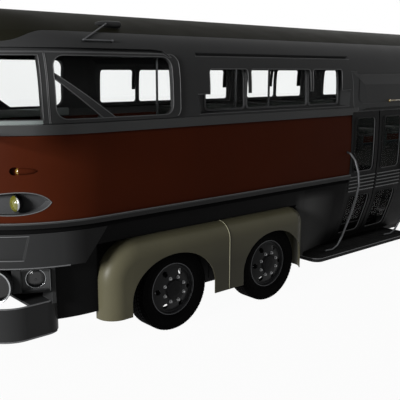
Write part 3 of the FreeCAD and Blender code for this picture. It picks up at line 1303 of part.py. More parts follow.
def mirrors():
    """Outside mirrors on arms from the nose."""
    y1 = SIDE_REACH_OUT
    head = box(MIRROR_X, MIRROR_X + MIRROR_DEPTH, y1 - MIRROR_WIDTH, y1, MIRROR_Z, MIRROR_Z + MIRROR_HEIGHT)
    head = head.makeFillet(MIRROR_CORNER, upright_edges(head))
    z = (BAND_TOP + BELT_TOP) / 2
    middle = MIRROR_X + MIRROR_DEPTH / 2
    nose = block(FRONT, upright(BAND_TOP, BELT_TOP), -BELT_PROUD)
    arm = rod_y(middle, z, MIRROR_ARM, 0, y1 - MIRROR_WIDTH / 2).cut(nose)
    mirror = fused([head, arm])
    return [mirror, mirrored(mirror)]


def bumper_rear():
    ring = skin(REAR, tail_levels(), -WALL, 0.0)
    x1 = TAIL_X + HALF_WIDTH * TAIL_REACH_SHARE
    zone = box(TAIL_X - OVERRUN, x1, -HALF_WIDTH * 2, HALF_WIDTH * 2, REAR_BUMPER_BOTTOM, REAR_BUMPER_TOP)
    return ring.common(zone).cut(skin(REAR, tail_levels()))


# Inside
SEAT_PITCH = 800.0
SEAT_PAIR = 850.0
SEAT_DEPTH = 440.0
SEAT_HEIGHT = 450.0
SEAT_CUSHION = 110.0
SEAT_BACK = 1040.0
SEAT_BACK_THICKNESS = 90.0
SEAT_OUTER = 1170.0
SEAT_LEG = 60.0


def seat(x, y0, y1):
    """A bench for two: cushion, back and a pedestal."""
    z = FLOOR_TOP
    cushion = box(x, x + SEAT_DEPTH, y0, y1, z + SEAT_HEIGHT - SEAT_CUSHION, z + SEAT_HEIGHT)
    back = box(x - SEAT_BACK_THICKNESS, x, y0, y1, z + SEAT_HEIGHT - SEAT_CUSHION, z + SEAT_BACK)
    middle = (y0 + y1) / 2
    leg = box(x, x + SEAT_DEPTH / 2, middle - SEAT_LEG, middle + SEAT_LEG, z, z + SEAT_HEIGHT - SEAT_CUSHION)
    return fused([cushion, back, leg])


def seat_rows(x0, x1, side):
    count = int((x1 - x0) // SEAT_PITCH)
    edge = SEAT_OUTER - SEAT_PAIR
    return [on_side(seat(x0 + SEAT_BACK_THICKNESS + i * SEAT_PITCH, edge, SEAT_OUTER), side)
            for i in range(count)]


def seats_front():
    rows = seat_rows(FRONT_END + 4 * WALL, DOOR_REAR - SEAT_DEPTH, LEFT)
    rows += seat_rows(DOOR_FRONT + SEAT_DEPTH / 2, AXLE_1 - SEAT_DEPTH / 2, LEFT)
    rows += seat_rows(FRONT_END + 4 * WALL, AXLE_1 - SEAT_DEPTH / 2, RIGHT)
    rows.append(seat(DRIVER_X, DRIVER_Y - DRIVER_HALF, DRIVER_Y + DRIVER_HALF))
    return Part.makeCompound(rows)


def seats_rear():
    x0 = TAIL_X + HALF_WIDTH * TAIL_REACH_SHARE + WALL
    x1 = REAR_START - 4 * WALL
    return Part.makeCompound(seat_rows(x0, x1, LEFT) + seat_rows(x0, x1, RIGHT))


DRIVER_X = AXLE_1 + 500.0
DRIVER_Y = 550.0
DRIVER_HALF = 260.0
DASH_DEPTH = 420.0
DASH_TOP = 2350.0
DASH_HALF_WIDTH = 790.0
DASH_X = AXLE_1 + 1500.0
WHEEL_RING = 240.0
COLUMN_LENGTH = 620.0
WHEEL_TUBE = 16.0
WHEEL_LEAN = (-0.45, 0.0, 0.9)
COLUMN_RADIUS = 24.0
SPOKE_RADIUS = 12.0
BOSS_RADIUS = 48.0
BOSS_LENGTH = 32.0


def dash_block():
    front = DASH_X + DASH_DEPTH
    outline = [(DASH_X, FLOOR_TOP), (DASH_X + DASH_DEPTH / 2, FLOOR_TOP), (front, DASH_TOP - WALL),
               (front, DASH_TOP), (DASH_X, DASH_TOP - WALL)]
    return prism_y(outline, -DASH_HALF_WIDTH, DASH_HALF_WIDTH)


def dashboard():
    """The dash with the steering column and wheel standing on it."""
    centre = V(DASH_X - WHEEL_RING, DRIVER_Y, DASH_TOP - WHEEL_RING / 2)
    lean = V(*WHEEL_LEAN)
    ring = Part.makeTorus(WHEEL_RING, WHEEL_TUBE, centre, lean)
    hub = Part.makeCylinder(BOSS_RADIUS, BOSS_LENGTH, centre - lean * WHEEL_TUBE, lean)
    column = Part.makeCylinder(COLUMN_RADIUS, COLUMN_LENGTH, centre, lean * -1)
    spoke = rod_y(centre.x, centre.z, SPOKE_RADIUS, DRIVER_Y - WHEEL_RING, DRIVER_Y + WHEEL_RING)
    return fused([ring, hub, column, spoke, dash_block()])


# Bulkheads, bellows and engine
PASSAGE_HALF = 560.0
PASSAGE_TOP = 3330.0
BELLOWS_WALL = 60.0
BELLOWS_INSET = 70.0
BELLOWS_FLOOR = 1260.0
BELLOWS_EDGE = 600.0


def bulkhead(body):
    """The wall at the gangway end, fitted inside the shell, with the passage cut."""
    flat, tip, _ = body
    ahead = 1 if tip > flat else -1
    slab = box(flat, flat + ahead * WALL, -HALF_WIDTH, HALF_WIDTH, FLOOR_TOP, ROOF_TOP)
    low = [(FLOOR_TOP, HALF_WIDTH - WALL, 0.0), (BELT_TOP, HALF_WIDTH - WALL - BAND_TUCK, 0.0)]
    inside = fused([block(body, low, BAND_TUCK), block(body, UPPER_LEVELS, WALL), dome(body, WALL)])
    passage = box(flat - WALL * 2, flat + WALL * 2, -PASSAGE_HALF, PASSAGE_HALF, FLOOR_TOP - OVERRUN,
                  PASSAGE_TOP)
    return slab.common(inside).cut([passage, skin(body, UPPER_LEVELS)])


def bellows():
    """A plain closed tube between the sections."""
    def ring(depth):
        inset = BELLOWS_INSET + depth
        half, cant, edge = HALF_WIDTH - inset, CANT_HALF_WIDTH - inset, BELLOWS_EDGE
        floor, top = BELLOWS_FLOOR + depth, ROOF_TOP - 2 * inset
        return [(-half, floor), (half, floor), (half, BELT_TOP), (cant, CANT_HEIGHT - inset),
                (edge, top), (-edge, top), (-cant, CANT_HEIGHT - inset), (-half, BELT_TOP)]

    outer = prism_x(ring(0), REAR_START, FRONT_END)
    inner = prism_x(ring(BELLOWS_WALL), REAR_START - OVERRUN, FRONT_END + OVERRUN)
    pin_hole = rod_z(PIVOT, 0, PIN_RADIUS + OVERRUN, TURNTABLE_HEIGHT, FLOOR_TOP)
    return outer.cut(inner).cut(pin_hole)


ENGINE_LENGTH = 1300.0
ENGINE_WIDTH = 640.0


def engine():
    x0 = TAIL_X + HALF_WIDTH * TAIL_REACH_SHARE + CROSS_WIDTH * 2
    half = ENGINE_WIDTH / 2
    return box(x0, x0 + ENGINE_LENGTH, -half, half, BODY_BOTTOM + CROSS_WIDTH, CHASSIS_TOP - CHASSIS_DEPTH)


def wheel_nodes(name, side):
    """Knuckles, wheels and tyres of one side."""
    parts = {}
    for number, x in ((1, AXLE_1), (2, AXLE_2)):
        parts["knuckle_%d_%s" % (number, name)] = knuckle(x, side)
        parts["wheel_%d_%s" % (number, name)] = steer_rim(x, side)
        parts["tyre_%d_%s" % (number, name)] = tyre(x, side * TRACK_HALF)
    for place, x in (("drive", DRIVE_AXLE), ("rear", REAR_AXLE)):
        parts["wheels_%s_%s" % (place, name)] = twin_rim(x, side)
        parts["tyres_%s_%s" % (place, name)] = twin_tyres(x, side)
    return parts


def front_nodes():
    """What only the front section has."""
    lamps = headlamps() + lower_lamps() + both_sides(marker_lens()) + roof_lamps() + [tube_lamp()]
    rails_at = (DOOR_FRONT + HANDRAIL_OFFSET, DOOR_REAR - HANDRAIL_OFFSET)
    axles = [steer_axle(AXLE_1), steer_axle(AXLE_2), solid_axle(DRIVE_AXLE, True)]
    return {
        "chassis_front": chassis_front(),
        "axles_front": Part.makeCompound(axles),
        "bumpers_front": bumpers_front(),
        "step_board": step_board(),
        "canopy": canopy(),
        "handrails": Part.makeCompound([handrail(x) for x in rails_at]),
        "seats_front": seats_front(),
        "dashboard": dashboard(),
        "lamps_front": Part.makeCompound(lamps),
        "mirrors": Part.makeCompound(mirrors()),
        "fenders_front": Part.makeCompound(fenders([AXLE_1, AXLE_2]) + fenders([DRIVE_AXLE])),
        "lower_body_front": lower_front(),
    }


def rear_nodes():
    """What only the rear section has, and the bellows between the two."""
    return {
        "chassis_rear": chassis_rear(),
        "axle_rear": solid_axle(REAR_AXLE, False),
        "engine": engine(),
        "bumper_rear": bumper_rear(),
        "lamps_rear": Part.makeCompound(tail_lamps()),
        "seats_rear": seats_rear(),
        "fenders_rear": Part.makeCompound(fenders([REAR_AXLE])),
        "lower_body_rear": lower_rear(),
        "bellows": bellows(),
    }


def shell_nodes(name, body):
    """The floor, walls, roof and glass of one section."""
    return {
        "deck_" + name: deck(body),
        "band_" + name: band(body),
        "rails_" + name: rails(body),
        "upper_body_" + name: upper_body(body),
        "roof_" + name: roof(body),
        "glass_" + name: glass(body),
        "bulkhead_" + name: bulkhead(body),
    }


def door_nodes(index, name):
    return {"door_" + name: door_leaf(index), "door_glass_" + name: door_glass(index)}


def nodes():
    """Every sub-part by name."""
    parts = {**front_nodes(), **rear_nodes(), **shell_nodes("front", FRONT), **shell_nodes("rear", REAR)}
    parts.update({**door_nodes(0, "front"), **door_nodes(1, "rear")})
    parts.update({**wheel_nodes("left", LEFT), **wheel_nodes("right", RIGHT)})
    return parts


os.makedirs("parts", exist_ok=True)
for name, shape in nodes().items():
    shape.exportStep("parts/%s.step" % name)
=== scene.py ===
"""Studio scene of the articulated coach: paint, rubber, glass, cloth and lamps over the solid model."""

import json
import math

import bmesh
import bpy
from mathutils import Matrix, Vector


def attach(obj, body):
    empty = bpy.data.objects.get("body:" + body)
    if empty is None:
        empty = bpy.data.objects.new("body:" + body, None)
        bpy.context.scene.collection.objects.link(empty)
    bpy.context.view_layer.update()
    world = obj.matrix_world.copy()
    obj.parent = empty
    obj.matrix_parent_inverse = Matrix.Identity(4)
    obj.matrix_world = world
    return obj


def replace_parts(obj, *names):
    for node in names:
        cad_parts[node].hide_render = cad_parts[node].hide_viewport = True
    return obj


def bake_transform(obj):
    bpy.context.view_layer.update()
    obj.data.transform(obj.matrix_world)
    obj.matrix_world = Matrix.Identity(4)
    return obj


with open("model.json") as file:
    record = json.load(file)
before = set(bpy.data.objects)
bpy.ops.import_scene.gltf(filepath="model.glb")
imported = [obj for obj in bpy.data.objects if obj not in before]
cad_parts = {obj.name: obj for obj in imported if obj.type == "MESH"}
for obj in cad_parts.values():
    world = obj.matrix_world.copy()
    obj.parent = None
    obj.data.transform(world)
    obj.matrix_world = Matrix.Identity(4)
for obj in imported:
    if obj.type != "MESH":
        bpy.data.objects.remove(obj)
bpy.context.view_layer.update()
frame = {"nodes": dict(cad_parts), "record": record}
nodes = frame["nodes"]

LEFT, RIGHT = 1, -1
AXLE_1 = 6.83
AXLE_2 = 5.23
DRIVE_AXLE = -0.07
REAR_AXLE = -6.27
TYRE_RADIUS = 0.5
TRACK_HALF = 1.04
TWIN_SPACING = 0.32
FULL_TURN = 2 * math.pi


# Camera, at the photograph's angle

EYE = Vector((AXLE_1 + 4.569, 6.908, 3.0))
HEADING = math.radians(229.1)
DIP = math.atan(128 / 654)
LENS_SHARE = 654 / 400


def photo_camera():
    """The camera that sees the coach as the photograph does."""
    data = bpy.data.cameras.new("photo_camera")
    data.sensor_fit = "HORIZONTAL"
    data.sensor_width = 36.0
    data.lens = 36.0 * LENS_SHARE
    data.clip_end = 200.0
    camera = bpy.data.objects.new("photo_camera", data)
    look = Vector((math.cos(HEADING) * math.cos(DIP), math.sin(HEADING) * math.cos(DIP), -math.sin(DIP)))
    camera.location = EYE
    camera.rotation_euler = look.to_track_quat("-Z", "Y").to_euler()
    bpy.context.scene.collection.objects.link(camera)
    bpy.context.scene.camera = camera


# Node shaders

def new_material(name):
    """A material with its node tree and main shader."""
    material = bpy.data.materials.new(name)
    material.use_nodes = True
    tree = material.node_tree
    return material, tree, tree.nodes["Principled BSDF"]


def add(tree, kind, **sockets):
    """A node with values set on its inputs; an underscore stands for a space."""
    node = tree.nodes.new(kind)
    for key, value in sockets.items():
        node.inputs[key.replace("_", " ")].default_value = value
    return node


def surface_place(tree, stretch=(1, 1, 1), turn=(0, 0, 0)):
    """Where a point lies on the piece, stretched and turned for a grain."""
    where = tree.nodes.new("ShaderNodeTexCoord")
    mapping = add(tree, "ShaderNodeMapping", Scale=stretch, Rotation=turn)
    tree.links.new(where.outputs["Object"], mapping.inputs["Vector"])
    return mapping.outputs["Vector"]


def noise(tree, scale, detail=4.0, stretch=(1, 1, 1)):
    """A cloudy pattern fixed to the piece."""
    node = add(tree, "ShaderNodeTexNoise", Scale=scale, Detail=detail)
    tree.links.new(surface_place(tree, stretch), node.inputs["Vector"])
    return node.outputs["Fac"]


def ramp(tree, factor, stops):
    """A colour band over a factor, from (place, colour) stops."""
    node = tree.nodes.new("ShaderNodeValToRGB")
    band = node.color_ramp
    while len(band.elements) < len(stops):
        band.elements.new(0.5)
    for element, (place, colour) in zip(band.elements, stops):
        element.position = place
        element.color = (*colour, 1.0)
    tree.links.new(factor, node.inputs["Fac"])
    return node.outputs["Color"]


def span(tree, factor, low, high, first=0.0, last=1.0):
    """A factor stretched from one range to another."""
    node = add(tree, "ShaderNodeMapRange", From_Min=first, From_Max=last, To_Min=low, To_Max=high)
    tree.links.new(factor, node.inputs["Value"])
    return node.outputs["Result"]


def mixed(tree, factor, low, high):
    """Two colours mixed by a factor, each a socket or a colour."""
    node = tree.nodes.new("ShaderNodeMix")
    node.data_type = "RGBA"
    tree.links.new(factor, node.inputs["Factor"])
    for value, socket in ((low, node.inputs["A"]), (high, node.inputs["B"])):
        if isinstance(value, tuple):
            socket.default_value = (*value, 1.0)
        else:
            tree.links.new(value, socket)
    return node.outputs["Result"]


def maths(tree, operation, first, second):
    """One sum on two values, each a socket or a number."""
    node = tree.nodes.new("ShaderNodeMath")
    node.operation = operation
    for value, socket in ((first, node.inputs[0]), (second, node.inputs[1])):
        if isinstance(value, (int, float)):
            socket.default_value = value
        else:
            tree.links.new(value, socket)
    return node.outputs["Value"]


def place_parts(tree):
    """The three coordinates of a point on the piece."""
    split = tree.nodes.new("ShaderNodeSeparateXYZ")
    tree.links.new(surface_place(tree), split.inputs["Vector"])
    return split.outputs["X"], split.outputs["Y"], split.outputs["Z"]


def relief(tree, shader, height, strength, distance, under=None):
    """Bumps the shader's surface by a height."""
    node = add(tree, "ShaderNodeBump", Strength=strength, Distance=distance)
    tree.links.new(height, node.inputs["Height"])
    if under is not None:
        tree.links.new(under, node.inputs["Normal"])
    tree.links.new(node.outputs["Normal"], shader.inputs["Normal"])


def eased_edges(tree, radius):
    """A softened normal for sharp edges, and how much it differs from the true one."""
    soft = tree.nodes.new("ShaderNodeBevel")
    soft.samples = 4
    soft.inputs["Radius"].default_value = radius
    true = tree.nodes.new("ShaderNodeNewGeometry")
    facing = tree.nodes.new("ShaderNodeVectorMath")
    facing.operation = "DOT_PRODUCT"
    tree.links.new(soft.outputs["Normal"], facing.inputs[0])
    tree.links.new(true.outputs["Normal"], facing.inputs[1])
    return soft.outputs["Normal"], span(tree, facing.outputs["Value"], 1.0, 0.0, 0.75, 0.995)


def paint(name, colour, rough=(0.3, 0.42), coat=0.1, specular=0.2, edge=1.9, radius=0.008, peel=0.05,
          other=None, where=None):
    """Sprayed body paint: drift of tone, road film, lighter edges that are partly wear and partly painted
    highlight, and a faint orange peel.

    A second colour covers the parts of the piece that a mask picks out.
    """
    material, tree, shader = new_material(name)
    drift = ramp(tree, noise(tree, 0.9, 6.0), [(0.32, tuple(c * 0.9 for c in colour)),
                                               (0.7, tuple(min(1.0, c * 1.08) for c in colour))])
    normal, edge_wear_and_highlight = eased_edges(tree, radius)
    # Edges lightened by the factor edge: partly wear, partly a painted highlight on the rounded edges.
    edges_worn_and_lit = mixed(tree, edge_wear_and_highlight, drift, tuple(min(1.0, c * edge + 0.004) for c in colour))
    streaks = span(tree, noise(tree, 5.0, 6.0, (1.0, 1.0, 0.18)), 0.0, 0.22, 0.45, 0.8)
    filmed = mixed(tree, streaks, edges_worn_and_lit, tuple(c * 0.72 + 0.003 for c in colour))
    if where is not None:
        second = mixed(tree, edge_wear_and_highlight, other, tuple(min(1.0, c * edge * 1.4 + 0.004) for c in other))
        filmed = mixed(tree, where(tree), filmed, second)
    tree.links.new(filmed, shader.inputs["Base Color"])
    tree.links.new(span(tree, noise(tree, 3.5, 5.0, (1, 1, 2.2)), *rough), shader.inputs["Roughness"])
    relief(tree, shader, noise(tree, 260.0, 2.0), peel, 0.002, normal)
    shader.inputs["Coat Weight"].default_value = coat
    shader.inputs["Coat Roughness"].default_value = 0.15
    shader.inputs["Specular IOR Level"].default_value = specular
    return material


GREY = (0.03, 0.0305, 0.031)
LINING = (0.055, 0.056, 0.058)
SCUTTLE = (0.19, 0.215, 0.21)
BLACK = (0.0042, 0.0042, 0.0043)
NOSE_START = AXLE_1 + 1.0
NOSE_REACH, NOSE_HALF = 1.4, 1.25
NACELLE_TIP, NACELLE_HIGH = AXLE_1 + 1.48, 1.88
# The nose's squared reach inside which its skin counts as sunk
SUNK_SHARE = 0.975
RAIL_SHADE = 1.522
DECK_FACE = 1.4785
SCUTTLE_BOTTOM, SCUTTLE_TOP, SCUTTLE_START = 2.437, 2.541, AXLE_1 + 1.57
# Where each mask of painted light and painted shade fades, as pairs of places along, across or up the coach
LIT_PATCH_RISE, LIT_PATCH_FALL, LIT_PATCH_TOP = (3.85, 4.3), (4.5, 4.62), (1.24, 1.36)
FENDER_SHADE_SIDE, FENDER_SHADE_HEIGHT, FENDER_SHADE_END, FENDER_SHADE_SHARE = (1.2, 1.27), (0.7, 1.14), (7.1, 7.5), 0.85
BUMPER_SHADE_FADE, BUMPER_SHADE_BOTTOM = (8.02, 8.25), 1.07


def in_nacelle(tree):
    """A mask of the headlamp recesses: low on the nose and sunk in from its rounded outline."""
    x, y, z = place_parts(tree)
    ahead = maths(tree, "DIVIDE", maths(tree, "SUBTRACT", x, NOSE_START), NOSE_REACH)
    aside = maths(tree, "DIVIDE", y, NOSE_HALF)
    round_off = maths(tree, "ADD", maths(tree, "MULTIPLY", ahead, ahead),
                      maths(tree, "MULTIPLY", aside, aside))
    sunk = maths(tree, "LESS_THAN", round_off, SUNK_SHARE)
    low = maths(tree, "LESS_THAN", z, NACELLE_HIGH)
    forward = maths(tree, "GREATER_THAN", x, NACELLE_TIP)
    return maths(tree, "MULTIPLY", sunk, maths(tree, "MULTIPLY", low, forward))


def under_the_lip(tree):
    """A mask of the rub rail's shaded lower half."""
    return maths(tree, "LESS_THAN", place_parts(tree)[2], RAIL_SHADE)


def on_the_deck(tree):
    """A mask of the deck's walking surface; its edge and underside stay painted."""
    return maths(tree, "GREATER_THAN", place_parts(tree)[2], DECK_FACE)


def under_the_windscreen(tree):
    """A mask of the scuttle: the bright panel that runs round the nose below the windscreen."""
    x, _, z = place_parts(tree)
    low = maths(tree, "MULTIPLY", maths(tree, "GREATER_THAN", z, SCUTTLE_BOTTOM),
                maths(tree, "LESS_THAN", z, SCUTTLE_TOP))
    return maths(tree, "MULTIPLY", low, maths(tree, "GREATER_THAN", x, SCUTTLE_START))


def painted_light_behind_fender(tree):
    """A mask of painted light on the skirt behind the fender: a lighter patch for the key light's reflection,
    fading backwards and upwards.
    """
    x, _, z = place_parts(tree)
    back = maths(tree, "MULTIPLY", span(tree, x, 0.0, 1.0, *LIT_PATCH_RISE), span(tree, x, 1.0, 0.0, *LIT_PATCH_FALL))
    return maths(tree, "MULTIPLY", back, span(tree, z, 1.0, 0.0, *LIT_PATCH_TOP))


def painted_shade_low_on_fenders(tree):
    """A mask of painted shade on the fenders' lower sides, darker towards the bottom, behind the foremost leg.
    """
    x, y, z = place_parts(tree)
    side = maths(tree, "MULTIPLY", span(tree, maths(tree, "ABSOLUTE", y, 0.0), 0.0, 1.0, *FENDER_SHADE_SIDE),
                 span(tree, z, FENDER_SHADE_SHARE, 0.0, *FENDER_SHADE_HEIGHT))
    return maths(tree, "MULTIPLY", side, span(tree, x, 1.0, 0.0, *FENDER_SHADE_END))


def bumper_end_painted_shade(tree):
    """A mask of painted shade on the upper bumper's rear ends, fading to black where they turn in to the dark
    skirt.
    """
    x, _, z = place_parts(tree)
    return maths(tree, "MULTIPLY", span(tree, x, 1.0, 0.0, *BUMPER_SHADE_FADE),
                 maths(tree, "GREATER_THAN", z, BUMPER_SHADE_BOTTOM))


def metal(name, colour, rough=(0.14, 0.3), radius=0.003):
    """Bare or plated metal with rubbed streaks."""
    material, tree, shader = new_material(name)
    rubbed = noise(tree, 14.0, 5.0, (1, 1, 3))
    tree.links.new(ramp(tree, rubbed, [(0.3, tuple(c * 0.75 for c in colour)), (0.75, colour)]),
                   shader.inputs["Base Color"])
    tree.links.new(span(tree, rubbed, *rough), shader.inputs["Roughness"])
    shader.inputs["Metallic"].default_value = 1.0
    normal, edge_wear_and_highlight = eased_edges(tree, radius)
    relief(tree, shader, noise(tree, 180.0, 3.0), 0.04, 0.001, normal)
    return material


def rubber(name, colour, rough=(0.55, 0.8), grain=90.0, depth=0.25, specular=0.15, dust=1.9):
    """Moulded rubber or plastic: dusty drift of tone over a fine grain."""
    material, tree, shader = new_material(name)
    dusty = noise(tree, 5.0, 8.0)
    dusted = tuple(min(1, c * dust + 0.002) for c in colour)
    tree.links.new(ramp(tree, dusty, [(0.35, colour), (0.8, dusted)]), shader.inputs["Base Color"])
    tree.links.new(span(tree, dusty, *rough), shader.inputs["Roughness"])
    relief(tree, shader, noise(tree, grain, 3.0), depth, 0.003)
    shader.inputs["Specular IOR Level"].default_value = specular
    return material


def woven(name, colour, fleck, threads=420.0, sheen=0.25):
    """Moquette: two crossed thread waves, flecks and a soft sheen."""
    material, tree, shader = new_material(name)
    weft = add(tree, "ShaderNodeTexWave", Scale=threads, Distortion=0.6)
    warp = add(tree, "ShaderNodeTexWave", Scale=threads, Distortion=0.6)
    tree.links.new(surface_place(tree, (1, 0.2, 0.2)), weft.inputs["Vector"])
    tree.links.new(surface_place(tree, (0.2, 0.2, 1), (0, 0.4, 0.2)), warp.inputs["Vector"])
    crossing = maths(tree, "MULTIPLY", weft.outputs["Fac"], warp.outputs["Fac"])
    flecked = mixed(tree, span(tree, noise(tree, 60.0, 2.0), 0.0, 1.0, 0.52, 0.66), colour, fleck)
    faded = mixed(tree, span(tree, noise(tree, 3.0, 5.0), 0.0, 0.35, 0.4, 0.75), flecked,
                  tuple(c * 1.6 for c in colour))
    tree.links.new(faded, shader.inputs["Base Color"])
    tree.links.new(span(tree, noise(tree, 6.0), 0.8, 0.95), shader.inputs["Roughness"])
    relief(tree, shader, crossing, 0.35, 0.0015)
    shader.inputs["Sheen Weight"].default_value = sheen
    shader.inputs["Sheen Roughness"].default_value = 0.4
    shader.inputs["Specular IOR Level"].default_value = 0.1
    return material


def pane_glass(name, tint, haze=0.04):
    """Clear pane with a faint wash of tint and haze."""
    material, tree, shader = new_material(name)
    tree.links.new(span(tree, noise(tree, 2.5), 0.0, haze), shader.inputs["Roughness"])
    wash = ramp(tree, noise(tree, 0.7, 2.0), [(0.3, tuple(c * 0.96 for c in tint)), (0.7, tint)])
    tree.links.new(wash, shader.inputs["Base Color"])
    shader.inputs["Transmission Weight"].default_value = 1.0
    shader.inputs["IOR"].default_value = 1.05
    return material


def moulded_lens(name, colour, rib_scale=30.0, through=0.35, coat=0.6):
    """Ribbed lamp lens, partly clear."""
    material, tree, shader = new_material(name)
    ribs = add(tree, "ShaderNodeTexWave", Scale=rib_scale)
    tree.links.new(surface_place(tree), ribs.inputs["Vector"])
    tree.links.new(ramp(tree, ribs.outputs["Fac"], [(0.2, tuple(c * 0.75 for c in colour)), (0.8, colour)]),
                   shader.inputs["Base Color"])
    tree.links.new(span(tree, noise(tree, 30.0), 0.06, 0.16), shader.inputs["Roughness"])
    relief(tree, shader, ribs.outputs["Fac"], 0.25, 0.003)
    shader.inputs["Coat Weight"].default_value = coat
    shader.inputs["Transmission Weight"].default_value = through
    return material


FINISHES = {
    "red_paint": paint("red_brown_paint", (0.054, 0.0108, 0.004), (0.42, 0.52), 0.0, 0.02, 1.5, other=LINING,
                       where=in_nacelle),
    "rail_paint": paint("rail_paint", (0.045, 0.0457, 0.046), (0.34, 0.44), 0.0, 0.12, 2.2, other=BLACK,
                        where=under_the_lip),
    "scuttle_paint": paint("scuttle_paint", GREY, (0.34, 0.44), 0.0, 0.08, 2.2, other=SCUTTLE,
                           where=under_the_windscreen),
    # The upper bumper's rear ends fade to black: painted shade where they turn in.
    "bumper_paint": paint("bumper_paint", (0.024, 0.0244, 0.0248), (0.34, 0.44), 0.0, 0.08, 2.4, other=BLACK,
                          where=bumper_end_painted_shade),
    # The skirt behind the front fenders gets a lighter patch: painted light for the key light's reflection on
    # the concave panel.
    "skirt_paint": paint("skirt_paint", BLACK, (0.42, 0.55), 0.0, 0.04, 2.2, other=(0.075, 0.075, 0.074),
                         where=painted_light_behind_fender),
    "deck_paint": paint("deck_paint", BLACK, (0.7, 0.85), 0.0, 0.02, 2.0, other=(0.012, 0.012, 0.011),
                        where=on_the_deck),
    "window_bead": paint("window_bead", (0.065, 0.066, 0.068), (0.3, 0.4), 0.0, 0.3, 1.5, 0.002),
    # The fenders' second colour is painted shade, darker towards the bottom of their sides.
    "olive_paint": paint("olive_paint", (0.1, 0.093, 0.057), (0.34, 0.42), 0.0, 0.14, 1.3,
                         other=(0.03, 0.028, 0.017), where=painted_shade_low_on_fenders),
    # The roof takes the fenders' olive darkened about tenfold: painted shade.
    "roof_paint": paint("roof_paint", (0.0095, 0.0093, 0.006), (0.5, 0.65), 0.0, 0.02, 1.5),
    "grey_paint": paint("grey_paint", GREY, (0.36, 0.46), 0.0, 0.08, 2.6),
    "black_paint": paint("black_paint", BLACK, (0.42, 0.55), 0.0, 0.05, 2.2),
    "bead_paint": paint("bead_paint", (0.3, 0.29, 0.2), (0.35, 0.45), 0.0, 0.2, 1.2, 0.002),
    "trim_bead": paint("trim_bead", (0.11, 0.112, 0.115), (0.28, 0.38), 0.0, 0.4, 1.5, 0.002),
    "dark_bead": rubber("gasket_rubber", (0.006, 0.006, 0.0062), (0.45, 0.6), 260.0, 0.15, 0.2),
    "chassis_steel": paint("chassis_paint", (0.006, 0.006, 0.0062), (0.6, 0.8), 0.0, 0.04, 1.8, 0.004, 0.1),
    "cast_iron": paint("casting_paint", (0.014, 0.015, 0.016), (0.5, 0.7), 0.0, 0.08, 1.8, 0.006, 0.2),
    "wheel_steel": paint("wheel_paint", (0.009, 0.0093, 0.0098), (0.36, 0.46), 0.0, 0.1, 2.4, 0.003),
    "bezel_paint": paint("bezel_paint", (0.05, 0.051, 0.052), (0.34, 0.44), 0.0, 0.2, 2.4, 0.002),
    "cap_paint": paint("hub_cap_paint", (0.005, 0.005, 0.0054), (0.4, 0.5), 0.0, 0.05, 2.0, 0.003),
    "mirror_glass": metal("silvered_glass", (0.8, 0.81, 0.82), (0.02, 0.05)),
    "bright_metal": metal("polished_bar", (0.42, 0.43, 0.44)),
    "nut_metal": metal("oiled_nut", (0.26, 0.262, 0.265), (0.3, 0.42)),
    "rail_metal": metal("brushed_rail", (0.075, 0.077, 0.08), (0.35, 0.5)),
    "tyre_rubber": rubber("tyre_rubber", (0.0008, 0.0008, 0.0008), (0.6, 0.85), 240.0, 0.3, 0.015, 1.4),
    "dark_rubber_coat": rubber("board_rubber", (0.006, 0.006, 0.006), (0.5, 0.7), 60.0, 0.4, 0.08),
    "bellows_rubber": rubber("bellows_cloth", (0.0055, 0.0055, 0.006), (0.6, 0.8), 300.0, 0.3, 0.1),
    "interior_plastic": rubber("trim_plastic", (0.014, 0.0165, 0.0155), (0.45, 0.6), 220.0, 0.15, 0.15),
    "seat_cloth": woven("seat_moquette", (0.015, 0.021, 0.018), (0.03, 0.028, 0.02)),
    "floor_ply": rubber("floor_covering", (0.012, 0.012, 0.011), (0.75, 0.9), 60.0, 0.05, 0.02),
    "lamp_glass": moulded_lens("amber_lens", (0.30, 0.18, 0.012)),
    "headlamp_glass": moulded_lens("yellow_lens", (0.15, 0.145, 0.018), 45.0, 0.1),
    "dark_lens": moulded_lens("smoked_lens", (0.004, 0.0042, 0.0045), 60.0, 0.05, 0.1),
    "ledge_plastic": rubber("ledge_plastic", (0.2, 0.225, 0.22), (0.3, 0.45), 220.0, 0.1, 0.3, 1.2),
    "red_lens": moulded_lens("red_lens", (0.5, 0.012, 0.009), 60.0, 0.1, 0.15),
    "glass": pane_glass("clear_glass", (0.955, 0.965, 0.962)),
}
OWN_FINISH = {"roof_front": "roof_paint", "roof_rear": "roof_paint", "rails_front": "rail_paint",
              "rails_rear": "rail_paint", "handrails": "rail_metal", "upper_body_front": "scuttle_paint",
              "bumpers_front": "bumper_paint", "lower_body_front": "skirt_paint", "deck_front": "deck_paint",
              "deck_rear": "deck_paint", "dashboard": "ledge_plastic"}


def dress_nodes():
    """Gives every solid of the frame its finish."""
    for part in frame["record"]["subparts"]:
        mesh = nodes[part["node"]].data
        mesh.materials.clear()
        finish = OWN_FINISH.get(part["node"], part["material_slot"])
        mesh.materials.append(FINISHES[finish])


# Making of pieces

def made(name, shape, finish, sharp=40.0):
    """Makes a shape a piece in its finish."""
    bmesh.ops.recalc_face_normals(shape, faces=shape.faces)
    mesh = bpy.data.meshes.new(name)
    shape.to_mesh(mesh)
    shape.free()
    mesh.shade_smooth()
    mesh.set_sharp_from_angle(angle=math.radians(sharp))
    mesh.materials.append(FINISHES[finish])
    piece = bpy.data.objects.new(name, mesh)
    bpy.context.scene.collection.objects.link(piece)
    return piece


def finished(name, shape, finish, body, sharp=40.0):
    """Makes a shape a piece that rides on its body."""
    piece = made(name, shape, finish, sharp)
    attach(piece, body)
    return piece


def chain(shape, points):
    """A run of edges through points, and the geometry to spin or extrude."""
    verts = [bmesh.ops.create_vert(shape, co=point)["vert"][0] for point in points]
    return verts + [shape.edges.new(pair) for pair in zip(verts, verts[1:])]


